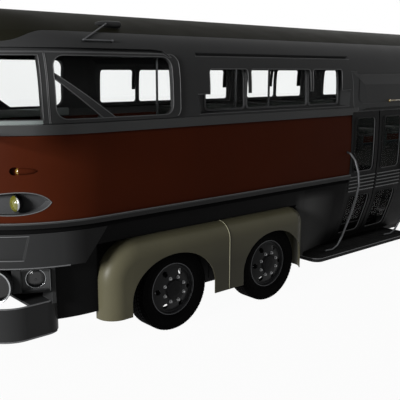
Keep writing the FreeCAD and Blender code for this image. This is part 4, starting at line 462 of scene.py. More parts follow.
def lathe(outline, steps):
    """Turns an outline of (reach, along) pairs once about the Y axis."""
    shape = bmesh.new()
    line = chain(shape, [(reach, along, 0.0) for reach, along in outline])
    bmesh.ops.spin(shape, geom=line, cent=(0, 0, 0), axis=(0, 1, 0), dvec=(0, 0, 0), angle=FULL_TURN,
                   steps=steps, use_merge=True)
    bmesh.ops.remove_doubles(shape, verts=shape.verts, dist=0.00005)
    bmesh.ops.recalc_face_normals(shape, faces=shape.faces)
    return shape


def reach_of(point):
    """How far a point lies from the wheel's axis."""
    return math.hypot(point.x, point.z)


def moved(shape, matrix):
    """The shape itself, moved."""
    bmesh.ops.transform(shape, matrix=matrix, verts=shape.verts)
    return shape


def joined(shapes):
    """One shape from several, which are used up."""
    whole = bmesh.new()
    for shape in shapes:
        mesh = bpy.data.meshes.new("part_of_piece")
        shape.to_mesh(mesh)
        shape.free()
        whole.from_mesh(mesh)
        bpy.data.meshes.remove(mesh)
    return whole


def copied(shape, matrices):
    """The shape once for each matrix, as one shape."""
    return joined([moved(shape.copy(), matrix) for matrix in matrices])


def on_wheel(x, side, along=TRACK_HALF):
    """Places a wheel-like shape, whose outer face looks along +Y, at an axle end."""
    turn = Matrix.Identity(4) if side == LEFT else Matrix.Rotation(math.pi, 4, "Z")
    return Matrix.Translation((x, side * along, TYRE_RADIUS)) @ turn


def eased_box(size, radius, segments=2):
    """A block about the origin with rounded edges."""
    shape = bmesh.new()
    bmesh.ops.create_cube(shape, size=1.0, matrix=Matrix.Diagonal((*size, 1.0)))
    bmesh.ops.bevel(shape, geom=shape.edges, offset=radius, segments=segments, profile=0.5, affect="EDGES",
                    material=-1)
    return shape


def tube(points, radius, sides=8):
    """A round bead along a run of points, closed on itself where the run is."""
    closed = (points[0] - points[-1]).length < 0.0001
    if closed:
        points = points[:-1]
    count = len(points)
    shape = bmesh.new()
    along = []
    for i, point in enumerate(points):
        ahead = points[(i + 1) % count] if closed or i < count - 1 else point
        behind = points[i - 1] if closed or i else point
        along.append((ahead - behind).normalized())
    lie = Matrix.Translation(points[0]) @ along[0].to_track_quat("Z", "Y").to_matrix().to_4x4()
    first = bmesh.ops.create_circle(shape, segments=sides, radius=radius, matrix=lie)["verts"]
    first_edges = edges = list(shape.edges)
    for i in range(1, count):
        grown = bmesh.ops.extrude_edge_only(shape, edges=edges)["geom"]
        verts = [g for g in grown if isinstance(g, bmesh.types.BMVert)]
        edges = [g for g in grown if isinstance(g, bmesh.types.BMEdge)]
        turn = along[i - 1].rotation_difference(along[i]).to_matrix().to_4x4()
        step = Matrix.Translation(points[i]) @ turn @ Matrix.Translation(-points[i - 1])
        bmesh.ops.transform(shape, matrix=step, verts=verts)
    if closed:
        bmesh.ops.bridge_loops(shape, edges=first_edges + edges)
    else:
        bmesh.ops.holes_fill(shape, edges=first_edges + edges, sides=0)
    return shape


def evened(run, step):
    """A run with the points dropped that come closer together than a step."""
    kept = [run[0]]
    for point in run[1:-1]:
        if (point - kept[-1]).length > step and (point - run[-1]).length > step:
            kept.append(point)
    return kept + [run[-1]]


def sharp_runs(node, keep, sharp=0.5, step=0.006):
    """The sharp outward edges of a solid that a test keeps, joined end to end into runs of points."""
    shape = bmesh.new()
    shape.from_mesh(nodes[node].data)
    bmesh.ops.remove_doubles(shape, verts=shape.verts, dist=0.0001)
    left = {edge for edge in shape.edges
            if len(edge.link_faces) == 2 and edge.is_convex and edge.calc_face_angle() > sharp and keep(edge)}
    runs = []
    while left:
        run = list(left.pop().verts)
        for _ in range(2):
            link = True
            while link:
                link = next((edge for edge in run[-1].link_edges if edge in left), None)
                if link:
                    left.discard(link)
                    run.append(link.other_vert(run[-1]))
            run.reverse()
        points = [vert.co.copy() for vert in run]
        if sum((a - b).length for a, b in zip(points, points[1:])) > 0.05:
            runs.append(evened(points, step))
    shape.free()
    return runs


def beads(name, runs, radius, finish, body, sides=8):
    """One piece of round beads laid along runs of points."""
    return finished(name, joined([tube(run, radius, sides) for run in runs]), finish, body, sharp=50.0)


# Tyres

TYRE_TREAD = 0.4855
TREAD_DEPTH = 0.0135
TREAD_STEPS = 66
# Half of the tyre's section as reach from the axle and distance from its middle, bead to crown
TYRE_SIDE = ((0.289, 0.096), (0.299, 0.104), (0.309, 0.112), (0.313, 0.119), (0.321, 0.1235),
             (0.334, 0.129), (0.337, 0.1275), (0.341, 0.1315), (0.358, 0.1355), (0.385, 0.139),
             (0.402, 0.1396), (0.405, 0.1385), (0.409, 0.1396), (0.428, 0.1385), (0.448, 0.1362),
             (0.466, 0.1325), (0.479, 0.1255), (TYRE_TREAD, 0.115), (TYRE_TREAD, 0.074),
             (TYRE_TREAD, 0.065), (TYRE_TREAD, 0.024), (TYRE_TREAD, 0.016))
STAGGERED = (0.02, 0.07)
# Middles of the round grooves, and how near a groove a face still belongs to it
GROOVES, GROOVE_HALF = (0.0695, 0.02), 0.003
SHOULDER_START = 0.452
BLOCK_EDGE, OUTER_BLOCK_EDGE = 0.006, 0.0105
LUG_EDGE, LUG_HEIGHT = 0.0085, 0.008


def treaded_tyre():
    """A lorry tyre about the Y axis: ridged sidewalls, lugged shoulders and staggered tread blocks."""
    inner = [(reach, -along) for reach, along in reversed(TYRE_SIDE)]
    shape = lathe(list(TYRE_SIDE) + inner, TREAD_STEPS)
    half_step = math.pi / TREAD_STEPS
    staggered = [v for v in shape.verts
                 if STAGGERED[0] < abs(v.co.y) < STAGGERED[1] and reach_of(v.co) > TYRE_TREAD - 0.001]
    bmesh.ops.rotate(shape, verts=staggered, cent=(0, 0, 0), matrix=Matrix.Rotation(half_step, 3, "Y"))
    shoulders, outer_blocks, blocks = [], [], []
    for face in shape.faces:
        middle = face.calc_center_median()
        reach, along = reach_of(middle), abs(middle.y)
        if reach > TYRE_TREAD - 0.002 and all(abs(along - g) > GROOVE_HALF for g in GROOVES):
            (outer_blocks if along > GROOVES[0] else blocks).append(face)
        elif SHOULDER_START < reach < TYRE_TREAD - 0.002:
            shoulders.append(face)
    bmesh.ops.inset_individual(shape, faces=blocks, thickness=BLOCK_EDGE, depth=TREAD_DEPTH)
    bmesh.ops.inset_individual(shape, faces=outer_blocks, thickness=OUTER_BLOCK_EDGE, depth=TREAD_DEPTH)
    bmesh.ops.inset_individual(shape, faces=shoulders, thickness=LUG_EDGE, depth=LUG_HEIGHT)
    return shape


def tyres():
    """A treaded tyre for every wheel, two at each end of the fixed axles."""
    rolling = treaded_tyre()
    for side, word in ((LEFT, "left"), (RIGHT, "right")):
        for number, x in ((1, AXLE_1), (2, AXLE_2)):
            tyre = finished("treaded_tyre_%d_%s" % (number, word), copied(rolling, [on_wheel(x, side)]),
                            "tyre_rubber", "road_wheel_%d_%s" % (number, word))
            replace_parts(tyre, "tyre_%d_%s" % (number, word))
        for place, x in (("drive", DRIVE_AXLE), ("rear", REAR_AXLE)):
            pair = [on_wheel(x, side), on_wheel(x, side, TRACK_HALF - TWIN_SPACING)]
            tyre = finished("treaded_tyres_%s_%s" % (place, word), copied(rolling, pair), "tyre_rubber",
                            "twin_wheels_%s_%s" % (place, word))
            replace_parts(tyre, "tyres_%s_%s" % (place, word))
    rolling.free()


# Road wheels

WHEEL_STEPS = 72
HAND_HOLES = 6
HOLE_RADIUS = 0.034
HOLE_CIRCLE = 0.224
# Half of the patch of faces that makes way for a hand hole, in and across, and the depth of its lip
PATCH_HALF, PATCH_ACROSS, HOLE_LIP = 0.034, 0.0365, 0.022
LUG_NUTS = 8
NUT_CIRCLE = 0.15
TWIN_NUT_CIRCLE = 0.136
# The steered wheel as reach and distance out from the tyre's middle: barrel and lip, then its dished face
WHEEL_BARREL = ((0.304, -0.117), (0.3095, -0.1145), (0.3095, -0.109), (0.297, -0.104), (0.284, -0.092),
                (0.271, -0.07), (0.271, 0.05), (0.292, 0.082), (0.3, 0.095), (0.306, 0.1045),
                (0.3105, 0.1095), (0.3105, 0.1145), (0.306, 0.1175), (0.3, 0.1165), (0.295, 0.1105),
                (0.2915, 0.103), (0.288, 0.094), (0.2835, 0.087), (0.277, 0.0855), (0.27, 0.0875))
WHEEL_DISH = ((0.262, 0.0915), (0.25, 0.0985), (0.238, 0.1045), (0.226, 0.1096), (0.214, 0.114),
              (0.202, 0.1178), (0.19, 0.1211), (0.18, 0.1238), (0.174, 0.1262), (0.168, 0.1286),
              (0.163, 0.1293), (0.122, 0.1293))
BRAKE_DRUM = ((0.0, 0.07), (0.17, 0.07), (0.176, 0.062), (0.186, 0.058), (0.192, 0.05), (0.192, 0.0),
              (0.2, -0.005), (0.2, -0.03), (0.192, -0.035), (0.192, -0.09), (0.0, -0.09))
NUT_FLANGE = WHEEL_DISH[-1][1]
DISC_BACK = 0.06
# A wheel nut's washer, hexagon and stud end: foot radius, tip radius, foot, height and sides
NUT_STACK = ((0.0205, 0.0205, 0.0, 0.004, 20), (0.0165, 0.0155, 0.004, 0.018, 6),
             (0.0085, 0.0065, 0.022, 0.008, 12))
NUT_EASE = 0.0009
TWIN_FLANGE = 0.056
VALVE_PLACE, VALVE_LEAN, VALVE_LENGTH = (0.262, 0.085, 0.0), -75, 0.05
VALVE_FOOT, VALVE_TIP = 0.005, 0.0035
# The hub cap, standing out from the nut flange
HUB_CAP = ((0.1235, -0.001), (0.1235, 0.0045), (0.119, 0.008), (0.114, 0.008), (0.112, 0.0175),
           (0.1075, 0.023), (0.1, 0.025), (0.0965, 0.023), (0.093, 0.025), (0.06, 0.027),
           (0.018, 0.0275), (0.017, 0.026), (0.0, 0.026))


def face_height(reach):
    """How far out the wheel's face stands at a reach."""
    for (r0, y0), (r1, y1) in zip(WHEEL_DISH, WHEEL_DISH[1:]):
        if r1 <= reach <= r0:
            return y0 + (y1 - y0) * (r0 - reach) / (r0 - r1)
    return NUT_FLANGE


def hand_hole(shape, angle):
    """Opens a round hole through the disc, with a turned-in lip."""
    out = Vector((math.cos(angle), 0, -math.sin(angle)))
    across = Vector((-math.sin(angle), 0, -math.cos(angle)))
    patch = []
    for face in shape.faces:
        middle = face.calc_center_median()
        near = abs(middle.dot(out) - HOLE_CIRCLE) < PATCH_HALF and abs(middle.dot(across)) < PATCH_ACROSS
        if near and middle.y > DISC_BACK:
            patch.append(face)
    rim = {e for f in patch for e in f.edges if sum(link in patch for link in e.link_faces) == 1}
    bmesh.ops.delete(shape, geom=patch, context="FACES")
    verts = {v for e in rim for v in e.verts}
    for v in verts:
        offset = Vector((v.co.dot(out) - HOLE_CIRCLE, v.co.dot(across))).normalized() * HOLE_RADIUS
        place = out * (HOLE_CIRCLE + offset.x) + across * offset.y
        v.co = place + Vector((0, face_height(reach_of(place)), 0))
    grown = bmesh.ops.extrude_edge_only(shape, edges=list(rim))["geom"]
    lip = [g for g in grown if isinstance(g, bmesh.types.BMVert)]
    bmesh.ops.translate(shape, verts=lip, vec=(0, -HOLE_LIP, 0))


def steered_wheel():
    """The steered wheel's barrel and dished face with its hand holes."""
    shape = lathe(WHEEL_BARREL + WHEEL_DISH, WHEEL_STEPS)
    for hole in range(HAND_HOLES):
        hand_hole(shape, FULL_TURN * hole / HAND_HOLES)
    return shape


def nut_ring(circle, out):
    """Hexagon nuts with their washers and stud ends, standing on a flange."""
    nut = bmesh.new()
    lie = Matrix.Rotation(-math.pi / 2, 4, "X")
    for radius, tip, foot, height, sides in NUT_STACK:
        place = Matrix.Translation((circle, out + foot + height / 2, 0)) @ lie
        bmesh.ops.create_cone(nut, cap_ends=True, segments=sides, radius1=radius, radius2=tip, depth=height,
                              matrix=place)
    bmesh.ops.bevel(nut, geom=nut.edges, offset=NUT_EASE, segments=1, profile=0.5, affect="EDGES",
                    material=-1)
    ring = [Matrix.Rotation(FULL_TURN * (n + 0.5) / LUG_NUTS, 4, "Y") for n in range(LUG_NUTS)]
    return copied(nut, ring)


def valve():
    """The tyre valve, leaning out of the rim."""
    shape = bmesh.new()
    place = Matrix.Translation(VALVE_PLACE) @ Matrix.Rotation(math.radians(VALVE_LEAN), 4, "X")
    bmesh.ops.create_cone(shape, cap_ends=True, segments=10, radius1=VALVE_FOOT, radius2=VALVE_TIP,
                          depth=VALVE_LENGTH, matrix=place)
    return shape


# A plated ring pressed on the rim's lip
LIP_RING = ((0.3035, 0.1168), (0.308, 0.1182), (0.3118, 0.1165), (0.3132, 0.113), (0.3125, 0.109))


def road_wheels():
    """Every wheel's own fittings: face, drum, nuts, lip ring, cap and valve."""
    face, stem, lip = steered_wheel(), valve(), lathe(LIP_RING, WHEEL_STEPS)
    cap, drum = moved(lathe(HUB_CAP, 48), Matrix.Translation((0, NUT_FLANGE, 0))), lathe(BRAKE_DRUM, 48)
    nuts = nut_ring(NUT_CIRCLE, NUT_FLANGE)
    twin_nuts = nut_ring(TWIN_NUT_CIRCLE, TWIN_FLANGE - TWIN_SPACING / 2)
    for side, word in ((LEFT, "left"), (RIGHT, "right")):
        for number, x in ((1, AXLE_1), (2, AXLE_2)):
            body, place = "road_wheel_%d_%s" % (number, word), [on_wheel(x, side)]
            tag = "_%d_%s" % (number, word)
            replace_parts(finished("wheel_face" + tag, copied(face, place), "wheel_steel", body), "wheel" + tag)
            finished("brake_drum" + tag, copied(drum, place), "cast_iron", body)
            finished("lug_nuts" + tag, copied(nuts, place), "nut_metal", body, 25.0)
            finished("lip_ring" + tag, copied(lip, place), "rail_metal", body)
            finished("hub_cap" + tag, copied(cap, place), "cap_paint", body)
            finished("tyre_valve" + tag, copied(stem, place), "bright_metal", body)
        for place, x in (("drive", DRIVE_AXLE), ("rear", REAR_AXLE)):
            body, tag = "twin_wheels_%s_%s" % (place, word), "_%s_%s" % (place, word)
            at_end = [on_wheel(x, side)]
            finished("lug_nuts" + tag, copied(twin_nuts, at_end), "nut_metal", body, 25.0)
            finished("lip_ring" + tag, copied(lip, at_end), "rail_metal", body)


# Bellows between the sections

BELLOWS_FOLDS = 15
FOLD_DEPTH = 0.055
BELLOWS_SPAN = (-3.345, -2.195)
GANGWAY_HALF_WIDE, GANGWAY_HALF_HIGH, LEAST_REACH = 1.18, 1.12, 0.4
# Half of the gangway's outline as (y, z), floor to crown
BELLOWS_HALF = ((0.62, 1.285), (1.0, 1.3), (1.155, 1.42), (1.176, 1.9), (1.176, 2.42), (1.15, 2.78),
                (1.085, 3.12), (0.965, 3.325), (0.62, 3.455), (0.3, 3.5))


def gangway_loop(shape, x):
    """The closed outline of the gangway as a loop of edges."""
    right = [(x, -y, z) for y, z in reversed(BELLOWS_HALF)]
    geometry = chain(shape, [(x, y, z) for y, z in BELLOWS_HALF] + right)
    verts = [g for g in geometry if isinstance(g, bmesh.types.BMVert)]
    shape.edges.new((verts[-1], verts[0]))
    return verts


def folded_bellows():
    """Pleated cloth all round, drawn in and out fold by fold along the gangway."""
    shape = bmesh.new()
    gangway_loop(shape, BELLOWS_SPAN[0])
    bmesh.ops.subdivide_edges(shape, edges=shape.edges, cuts=3)
    for _ in range(5):
        bmesh.ops.smooth_vert(shape, verts=shape.verts, factor=0.5, use_axis_y=True, use_axis_z=True)
    step = (BELLOWS_SPAN[1] - BELLOWS_SPAN[0]) / (2 * BELLOWS_FOLDS)
    middle = (BELLOWS_HALF[0][1] + BELLOWS_HALF[-1][1]) / 2
    edges = list(shape.edges)
    for turn in range(2 * BELLOWS_FOLDS):
        grown = bmesh.ops.extrude_edge_only(shape, edges=edges)["geom"]
        verts = [g for g in grown if isinstance(g, bmesh.types.BMVert)]
        edges = [g for g in grown if isinstance(g, bmesh.types.BMEdge)]
        bmesh.ops.translate(shape, verts=verts, vec=(step, 0, 0))
        inward = -FOLD_DEPTH if turn % 2 == 0 else FOLD_DEPTH
        for v in verts:
            aside, up = v.co.y / GANGWAY_HALF_WIDE, (v.co.z - middle) / GANGWAY_HALF_HIGH
            pull = inward / max(math.hypot(aside, up), LEAST_REACH)
            v.co.y += pull * aside
            v.co.z += pull * up
    return shape


def bellows():
    """The folded cloth that fills the gap between the two sections."""
    cloth = made("bellows_folds", folded_bellows(), "bellows_rubber", sharp=70.0)
    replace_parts(cloth, "bellows")
    rounding = cloth.modifiers.new("fold_rounding", "SUBSURF")
    rounding.levels = rounding.render_levels = 1
    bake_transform(cloth)


# Seats

PAD_EASE = 0.012
PAD_VOXEL = 0.024
PAD_SWELL = 0.022
PAD_CORNER_SHARE = 0.3
PAD_PRESSURE, PAD_STIFFNESS, PAD_MOMENTS = 4.0, 12.0, 15
# How far the seams between places and the sewn ribs draw a pad in, and how wide they are
SEAM_PULL, SEAM_HALF = 0.3, 0.022
RIB_PULL, RIB_HALF, RIB_SHARES = 0.1, 0.02, (-0.25, 0.0, 0.25)
SEAT_FLOOR, SEAT_DEPTH, BACK_DEPTH = 1.48, 0.44, 0.09
SIDE_EASE = 0.03
CUSHION_THICK, CUSHION_LEVEL = 0.11, 0.4
BACK_THICK, BACK_HIGH, BACK_DROP, BACK_LEAN = 0.07, 0.68, 0.352, 0.012
TWO_PLACES = 0.6
# The shell's pieces: thickness, size or share of the cushion's depth, and the height of each one's middle
PAN_THICK, PAN_LEVEL, PAN_LONGER = 0.026, 0.345, 0.02
LEG_SHARE, LEG_WIDE, LEG_HIGH, LEG_LEVEL, LEG_PLACE = 0.42, 0.11, 0.335, 0.168, 0.3
FOOT_SHARE, FOOT_WIDE, FOOT_HIGH, FOOT_LEVEL = 0.6, 0.2, 0.02, 0.011
BOARD_THICK, BOARD_OUT, BOARD_SHORTER, BOARD_FOOT = 0.024, 0.014, 0.37, 0.34


def bench_boxes(node):
    """The lowest and highest corner of every bench in a node, and of its cushion and back."""
    shape = bmesh.new()
    shape.from_mesh(nodes[node].data)
    bmesh.ops.remove_doubles(shape, verts=shape.verts, dist=0.0001)
    left, boxes = set(shape.verts), []
    while left:
        reached = [left.pop()]
        for vert in reached:
            near = {edge.other_vert(vert) for edge in vert.link_edges} & left
            left -= near
            reached.extend(near)
        low = Vector([min(v.co[i] for v in reached) for i in range(3)])
        high = Vector([max(v.co[i] for v in reached) for i in range(3)])
        boxes.append((low, high))
    shape.free()
    return sorted(boxes, key=lambda corners: tuple(corners[0]))


def swelled(pad):
    """Inflates a pad as cloth and holds the swelling to a limit."""
    rest = [v.co.copy() for v in pad.data.vertices]
    cloth = pad.modifiers.new("stuffing", "CLOTH")
    cloth.settings.use_pressure = True
    cloth.settings.uniform_pressure_force = PAD_PRESSURE
    cloth.settings.effector_weights.gravity = 0.0
    cloth.settings.quality = 4
    cloth.settings.tension_stiffness = cloth.settings.compression_stiffness = PAD_STIFFNESS
    scene = bpy.context.scene
    for moment in range(1, PAD_MOMENTS):
        scene.frame_set(moment)
    graph = bpy.context.evaluated_depsgraph_get()
    puffed = [v.co.copy() for v in pad.evaluated_get(graph).data.vertices]
    pad.modifiers.remove(cloth)
    scene.frame_set(1)
    for vert, before, after in zip(pad.data.vertices, rest, puffed):
        move = after - before
        vert.co = before + move * min(1.0, PAD_SWELL / max(move.length, 0.00001))


def stuffed(size, places):
    """A stuffed pad about the origin, drawn in at a seam between places and at sewn ribs."""
    block = eased_box([s - 2 * PAD_EASE for s in size], min(size) * PAD_CORNER_SHARE, 3)
    mesh = bpy.data.meshes.new("pad_block")
    block.to_mesh(mesh)
    block.free()
    pad = bpy.data.objects.new("pad_block", mesh)
    bpy.context.scene.collection.objects.link(pad)
    remesh = pad.modifiers.new("even_mesh", "REMESH")
    remesh.mode = "VOXEL"
    remesh.voxel_size = PAD_VOXEL
    graph = bpy.context.evaluated_depsgraph_get()
    even = bpy.data.meshes.new_from_object(pad.evaluated_get(graph))
    pad.modifiers.remove(remesh)
    pad.data = even
    swelled(pad)
    shape = bmesh.new()
    shape.from_mesh(pad.data)
    bpy.data.objects.remove(pad)
    thin = min(range(3), key=lambda i: size[i])
    long = max(range(3), key=lambda i: size[i] if i != thin else 0)
    for v in shape.verts:
        for place in range(1, places):
            away = abs(v.co[1] + size[1] / 2 - size[1] * place / places)
            v.co[thin] *= 1.0 - SEAM_PULL * math.exp(-((away / SEAM_HALF) ** 2))
        for rib in RIB_SHARES:
            if long != 1 or places > 1:
                across = 0 if thin == 2 else 2
                away = abs(v.co[across] - rib * size[across])
                v.co[thin] *= 1.0 - RIB_PULL * math.exp(-((away / RIB_HALF) ** 2))
    return shape


def placed_box(size, ease, place):
    """A block with rounded edges, at a place."""
    return moved(eased_box(size, ease), Matrix.Translation(place))


def seat_frame(low, high):
    """A bench's shell: pan, pedestal with its foot, and back board."""
    width, middle = high.y - low.y, (low.y + high.y) / 2
    front, leg_x = low.x + BACK_DEPTH, low.x + BACK_DEPTH + SEAT_DEPTH * LEG_PLACE
    pan = placed_box((SEAT_DEPTH + PAN_LONGER, width - PAN_LONGER, PAN_THICK), 0.01,
                     (front + SEAT_DEPTH / 2, middle, SEAT_FLOOR + PAN_LEVEL))
    leg = placed_box((SEAT_DEPTH * LEG_SHARE, LEG_WIDE, LEG_HIGH), 0.02,
                     (leg_x, middle, SEAT_FLOOR + LEG_LEVEL))
    foot = placed_box((SEAT_DEPTH * FOOT_SHARE, FOOT_WIDE, FOOT_HIGH), 0.006,
                      (leg_x, middle, SEAT_FLOOR + FOOT_LEVEL))
    board = placed_box((BOARD_THICK, width - SIDE_EASE, high.z - SEAT_FLOOR - BOARD_SHORTER), 0.01,
                       (low.x + BOARD_OUT, middle, (high.z + SEAT_FLOOR + BOARD_FOOT) / 2))
    return [pan, leg, foot, board]


def pad_pair(width):
    """The cushion and the back of a bench, about the origin."""
    places = 2 if width > TWO_PLACES else 1
    return (stuffed((SEAT_DEPTH, width - SIDE_EASE, CUSHION_THICK), places),
            stuffed((BACK_THICK, width - SIDE_EASE, BACK_HIGH), places))


def seats():
    """Padded moquette benches in both sections and the driver's seat."""
    for node, body in (("seats_front", "front_section"), ("seats_rear", "rear_section")):
        cushions, backs, frames = [], [], []
        prototypes = {}
        for low, high in bench_boxes(node):
            width = round(high.y - low.y, 3)
            if width not in prototypes:
                prototypes[width] = pad_pair(width)
            cushion, rest = prototypes[width]
            middle = (low.y + high.y) / 2
            seat = (low.x + BACK_DEPTH + SEAT_DEPTH / 2, middle, SEAT_FLOOR + CUSHION_LEVEL)
            behind = (low.x + BACK_DEPTH / 2 + BACK_LEAN, middle, high.z - BACK_DROP)
            cushions.append(moved(cushion.copy(), Matrix.Translation(seat)))
            backs.append(moved(rest.copy(), Matrix.Translation(behind)))
            frames += seat_frame(low, high)
        for pads in prototypes.values():
            for pad in pads:
                pad.free()
        for name, shapes, finish in (("cushions", cushions, "seat_cloth"),
                                     ("seat_backs", backs, "seat_cloth"),
                                     ("seat_shells", frames, "interior_plastic")):
            piece = finished("%s_%s" % (name, body), joined(shapes), finish, body)
            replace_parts(piece, node)


# Lamps

HEADLAMP = Vector((AXLE_1 + 1.822, 0.945, 1.728))
OUTER_LAMP = (1.703, 1.081, 62.6)
INNER_LAMP = (2.03, 0.847, 45.0)
DRUM_LAMP_Z = 0.893
LOWER_LAMP_Z, LOWER_LAMP_SET = 0.935, -0.1
# The strip lamp over the doors: across, up, its two ends, and the radius of its tube and caps
STRIP_Y, STRIP_Z, STRIP_ENDS = 1.321, 2.585, (AXLE_1 - 4.36, AXLE_1 - 4.0)
STRIP_RADIUS, STRIP_CAP, STRIP_CAP_LENGTH, STRIP_INSET = 0.0135, 0.0175, 0.028, 0.02
MARKER = Vector((AXLE_1 + 1.718, 1.069, 2.056))
MARKER_ANGLE, MARKER_REACH = -28.3, 0.091
MARKER_LENS = ((0.034, 0.0), (0.031, 0.012), (0.023, 0.021), (0.012, 0.026), (0.0, 0.0275))
ROOF_LAMP = Vector((AXLE_1 + 0.5, 0.9, 3.494))
STRUT_RADIUS, STRUT_KNOB = 0.008, 0.014
STRUT = ((AXLE_1 + 0.735, 1.110, 3.314), (AXLE_1 + 1.074, 1.110, 3.314), (AXLE_1 + 0.69, 0.934, 3.498))
# Outlines as (reach, along), along growing the way the lamp faces
HEADLAMP_RIM = ((0.0855, -0.0165), (0.0905, -0.014), (0.0925, -0.006), (0.091, 0.0), (0.086, 0.0035),
                (0.0805, 0.001), (0.079, -0.006))
HEADLAMP_SHELL = ((0.0, -0.0785), (0.03, -0.0775), (0.062, -0.068), (0.078, -0.05), (0.084, -0.016))
HEADLAMP_LENS = ((0.0805, 0.0), (0.074, 0.0105), (0.062, 0.0195), (0.044, 0.0275), (0.022, 0.032),
                 (0.0, 0.0335))
LOWER_RIM = ((0.094, -0.014), (0.1, -0.012), (0.1035, -0.004), (0.102, 0.001), (0.097, 0.002),
             (0.0935, -0.003))
LOWER_SHELL = ((0.0, -0.049), (0.08, -0.048), (0.1, -0.035), (0.102, -0.008))
LOWER_LENS = ((0.095, -0.003), (0.08, 0.006), (0.055, 0.013), (0.026, 0.017), (0.012, 0.0175),
              (0.0095, 0.021), (0.0, 0.022))
DRUM_SHELL = ((0.0, -0.12), (0.12, -0.12), (0.155, -0.1), (0.168, -0.06), (0.171, 0.0), (0.171, 0.024))
DRUM_RIM = ((0.168, 0.02), (0.174, 0.026), (0.173, 0.034), (0.167, 0.037), (0.158, 0.033), (0.155, 0.024))
DRUM_LENS = ((0.158, 0.024), (0.14, 0.034), (0.1, 0.044), (0.05, 0.0495), (0.02, 0.0505), (0.014, 0.056),
             (0.0, 0.057))
ROOF_BULLET = ((0.0, 0.0015), (0.02, 0.0), (0.031, 0.002), (0.0345, 0.008), (0.035, 0.03), (0.035, 0.11),
               (0.0342, 0.16), (0.0305, 0.215), (0.0228, 0.265), (0.0125, 0.298), (0.0, 0.31))
ROOF_EYE = ((0.0, -0.006), (0.012, -0.0045), (0.0165, 0.0), (0.0175, 0.004))


def aimed(place, heading, side):
    """Turns a shape that faces +Y to a heading from straight ahead, at a place on one side."""
    x, y, z = place
    angle = side * heading - 90.0
    return Matrix.Translation((x, side * y, z)) @ Matrix.Rotation(math.radians(angle), 4, "Z")


def lamp_piece(name, outline, steps, spots, finish):
    """A turned part of a lamp, once for each spot, in place of the solid lamps."""
    piece = finished(name, copied(lathe(outline, steps), spots), finish, "front_section", 35.0)
    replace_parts(piece, "lamps_front")


def rod(start, end, radius, sides=14):
    """A round bar from one point to another."""
    start, end = Vector(start), Vector(end)
    run = end - start
    shape = bmesh.new()
    lie = Matrix.Translation((start + end) / 2) @ run.to_track_quat("Z", "Y").to_matrix().to_4x4()
    bmesh.ops.create_cone(shape, cap_ends=True, segments=sides, radius1=radius, radius2=radius,
                          depth=run.length, matrix=lie)
    bmesh.ops.bevel(shape, geom=[e for e in shape.edges if e.calc_face_angle(0.0) > 1.0], offset=radius * 0.3,
                    segments=2, profile=0.5, affect="EDGES", material=-1)
    return shape


def knob(place, radius):
    """A ball at a place."""
    shape = bmesh.new()
    bmesh.ops.create_uvsphere(shape, u_segments=18, v_segments=12, radius=radius,
                              matrix=Matrix.Translation(place))
    return shape


def headlamps():
    """The lamps sunk in the nose's nacelles."""
    spots = [aimed(HEADLAMP, 0.0, side) for side in (LEFT, RIGHT)]
    lamp_piece("headlamp_shells", HEADLAMP_SHELL, 40, spots, "cap_paint")
    lamp_piece("headlamp_rims", HEADLAMP_RIM, 48, spots, "bright_metal")
    lamp_piece("headlamp_lenses", HEADLAMP_LENS, 48, spots, "headlamp_glass")


def lower_lamps():
    """Flush lamps at the corners, and larger drum lamps inboard of them that hang below the beam."""
    x, y, heading = OUTER_LAMP
    spots = [aimed((AXLE_1 + x, y, LOWER_LAMP_Z), heading, side) @ Matrix.Translation((0, LOWER_LAMP_SET, 0))
             for side in (LEFT, RIGHT)]
    lamp_piece("lower_lamp_shells", LOWER_SHELL, 40, spots, "cap_paint")
    lamp_piece("lower_lamp_rims", LOWER_RIM, 48, spots, "bright_metal")
    lamp_piece("lower_lamp_lenses", LOWER_LENS, 48, spots, "dark_lens")
    x, y, heading = INNER_LAMP
    spots = [aimed((AXLE_1 + x, y, DRUM_LAMP_Z), heading, side) for side in (LEFT, RIGHT)]
    lamp_piece("drum_lamp_shells", DRUM_SHELL, 48, spots, "bezel_paint")
    lamp_piece("drum_lamp_rims", DRUM_RIM, 48, spots, "bright_metal")
    lamp_piece("drum_lamp_lenses", DRUM_LENS, 48, spots, "dark_lens")


def marker_lenses():
    """The amber ends of the bullet markers on the band."""
    spots = [aimed(MARKER, MARKER_ANGLE, side) @ Matrix.Translation((0, MARKER_REACH, 0))
             for side in (LEFT, RIGHT)]
    lamp_piece("marker_lenses", MARKER_LENS, 32, spots, "lamp_glass")


def roof_lamps():
    """Bullet lamps on the roof, each on a strut of two thin arms."""
    spots = [aimed(ROOF_LAMP, 0.0, side) for side in (LEFT, RIGHT)]
    lamp_piece("roof_lamp_shells", ROOF_BULLET, 40, spots, "grey_paint")
    lamp_piece("roof_lamp_eyes", ROOF_EYE, 24, spots, "lamp_glass")
    heel, foot, head = STRUT
    arms = []
    for side in (LEFT, RIGHT):
        ends = [(x, side * y, z) for x, y, z in (heel, foot, head)]
        arms += [rod(ends[1], end, STRUT_RADIUS) for end in (ends[2], ends[0])]
        arms += [knob(end, STRUT_KNOB) for end in ends[:2]]
    strut = finished("roof_lamp_struts", joined(arms), "rail_metal", "front_section")
    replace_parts(strut, "lamps_front")


def tube_lamp():
    """The strip lamp over the doors: a ribbed tube between two end caps."""
    rear, front = STRIP_ENDS
    spans = (("door_strip_lamp", [(rear + STRIP_INSET, front - STRIP_INSET)], STRIP_RADIUS),
             ("door_strip_caps", [(rear, rear + STRIP_CAP_LENGTH), (front - STRIP_CAP_LENGTH, front)],
              STRIP_CAP))
    for name, runs, radius in spans:
        rods = [rod((a, STRIP_Y, STRIP_Z), (b, STRIP_Y, STRIP_Z), radius, 20) for a, b in runs]
        piece = finished(name, joined(rods), "lamp_glass", "front_section")
        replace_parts(piece, "lamps_front")


# Trim: beads, gaskets, bezels, strips and rims

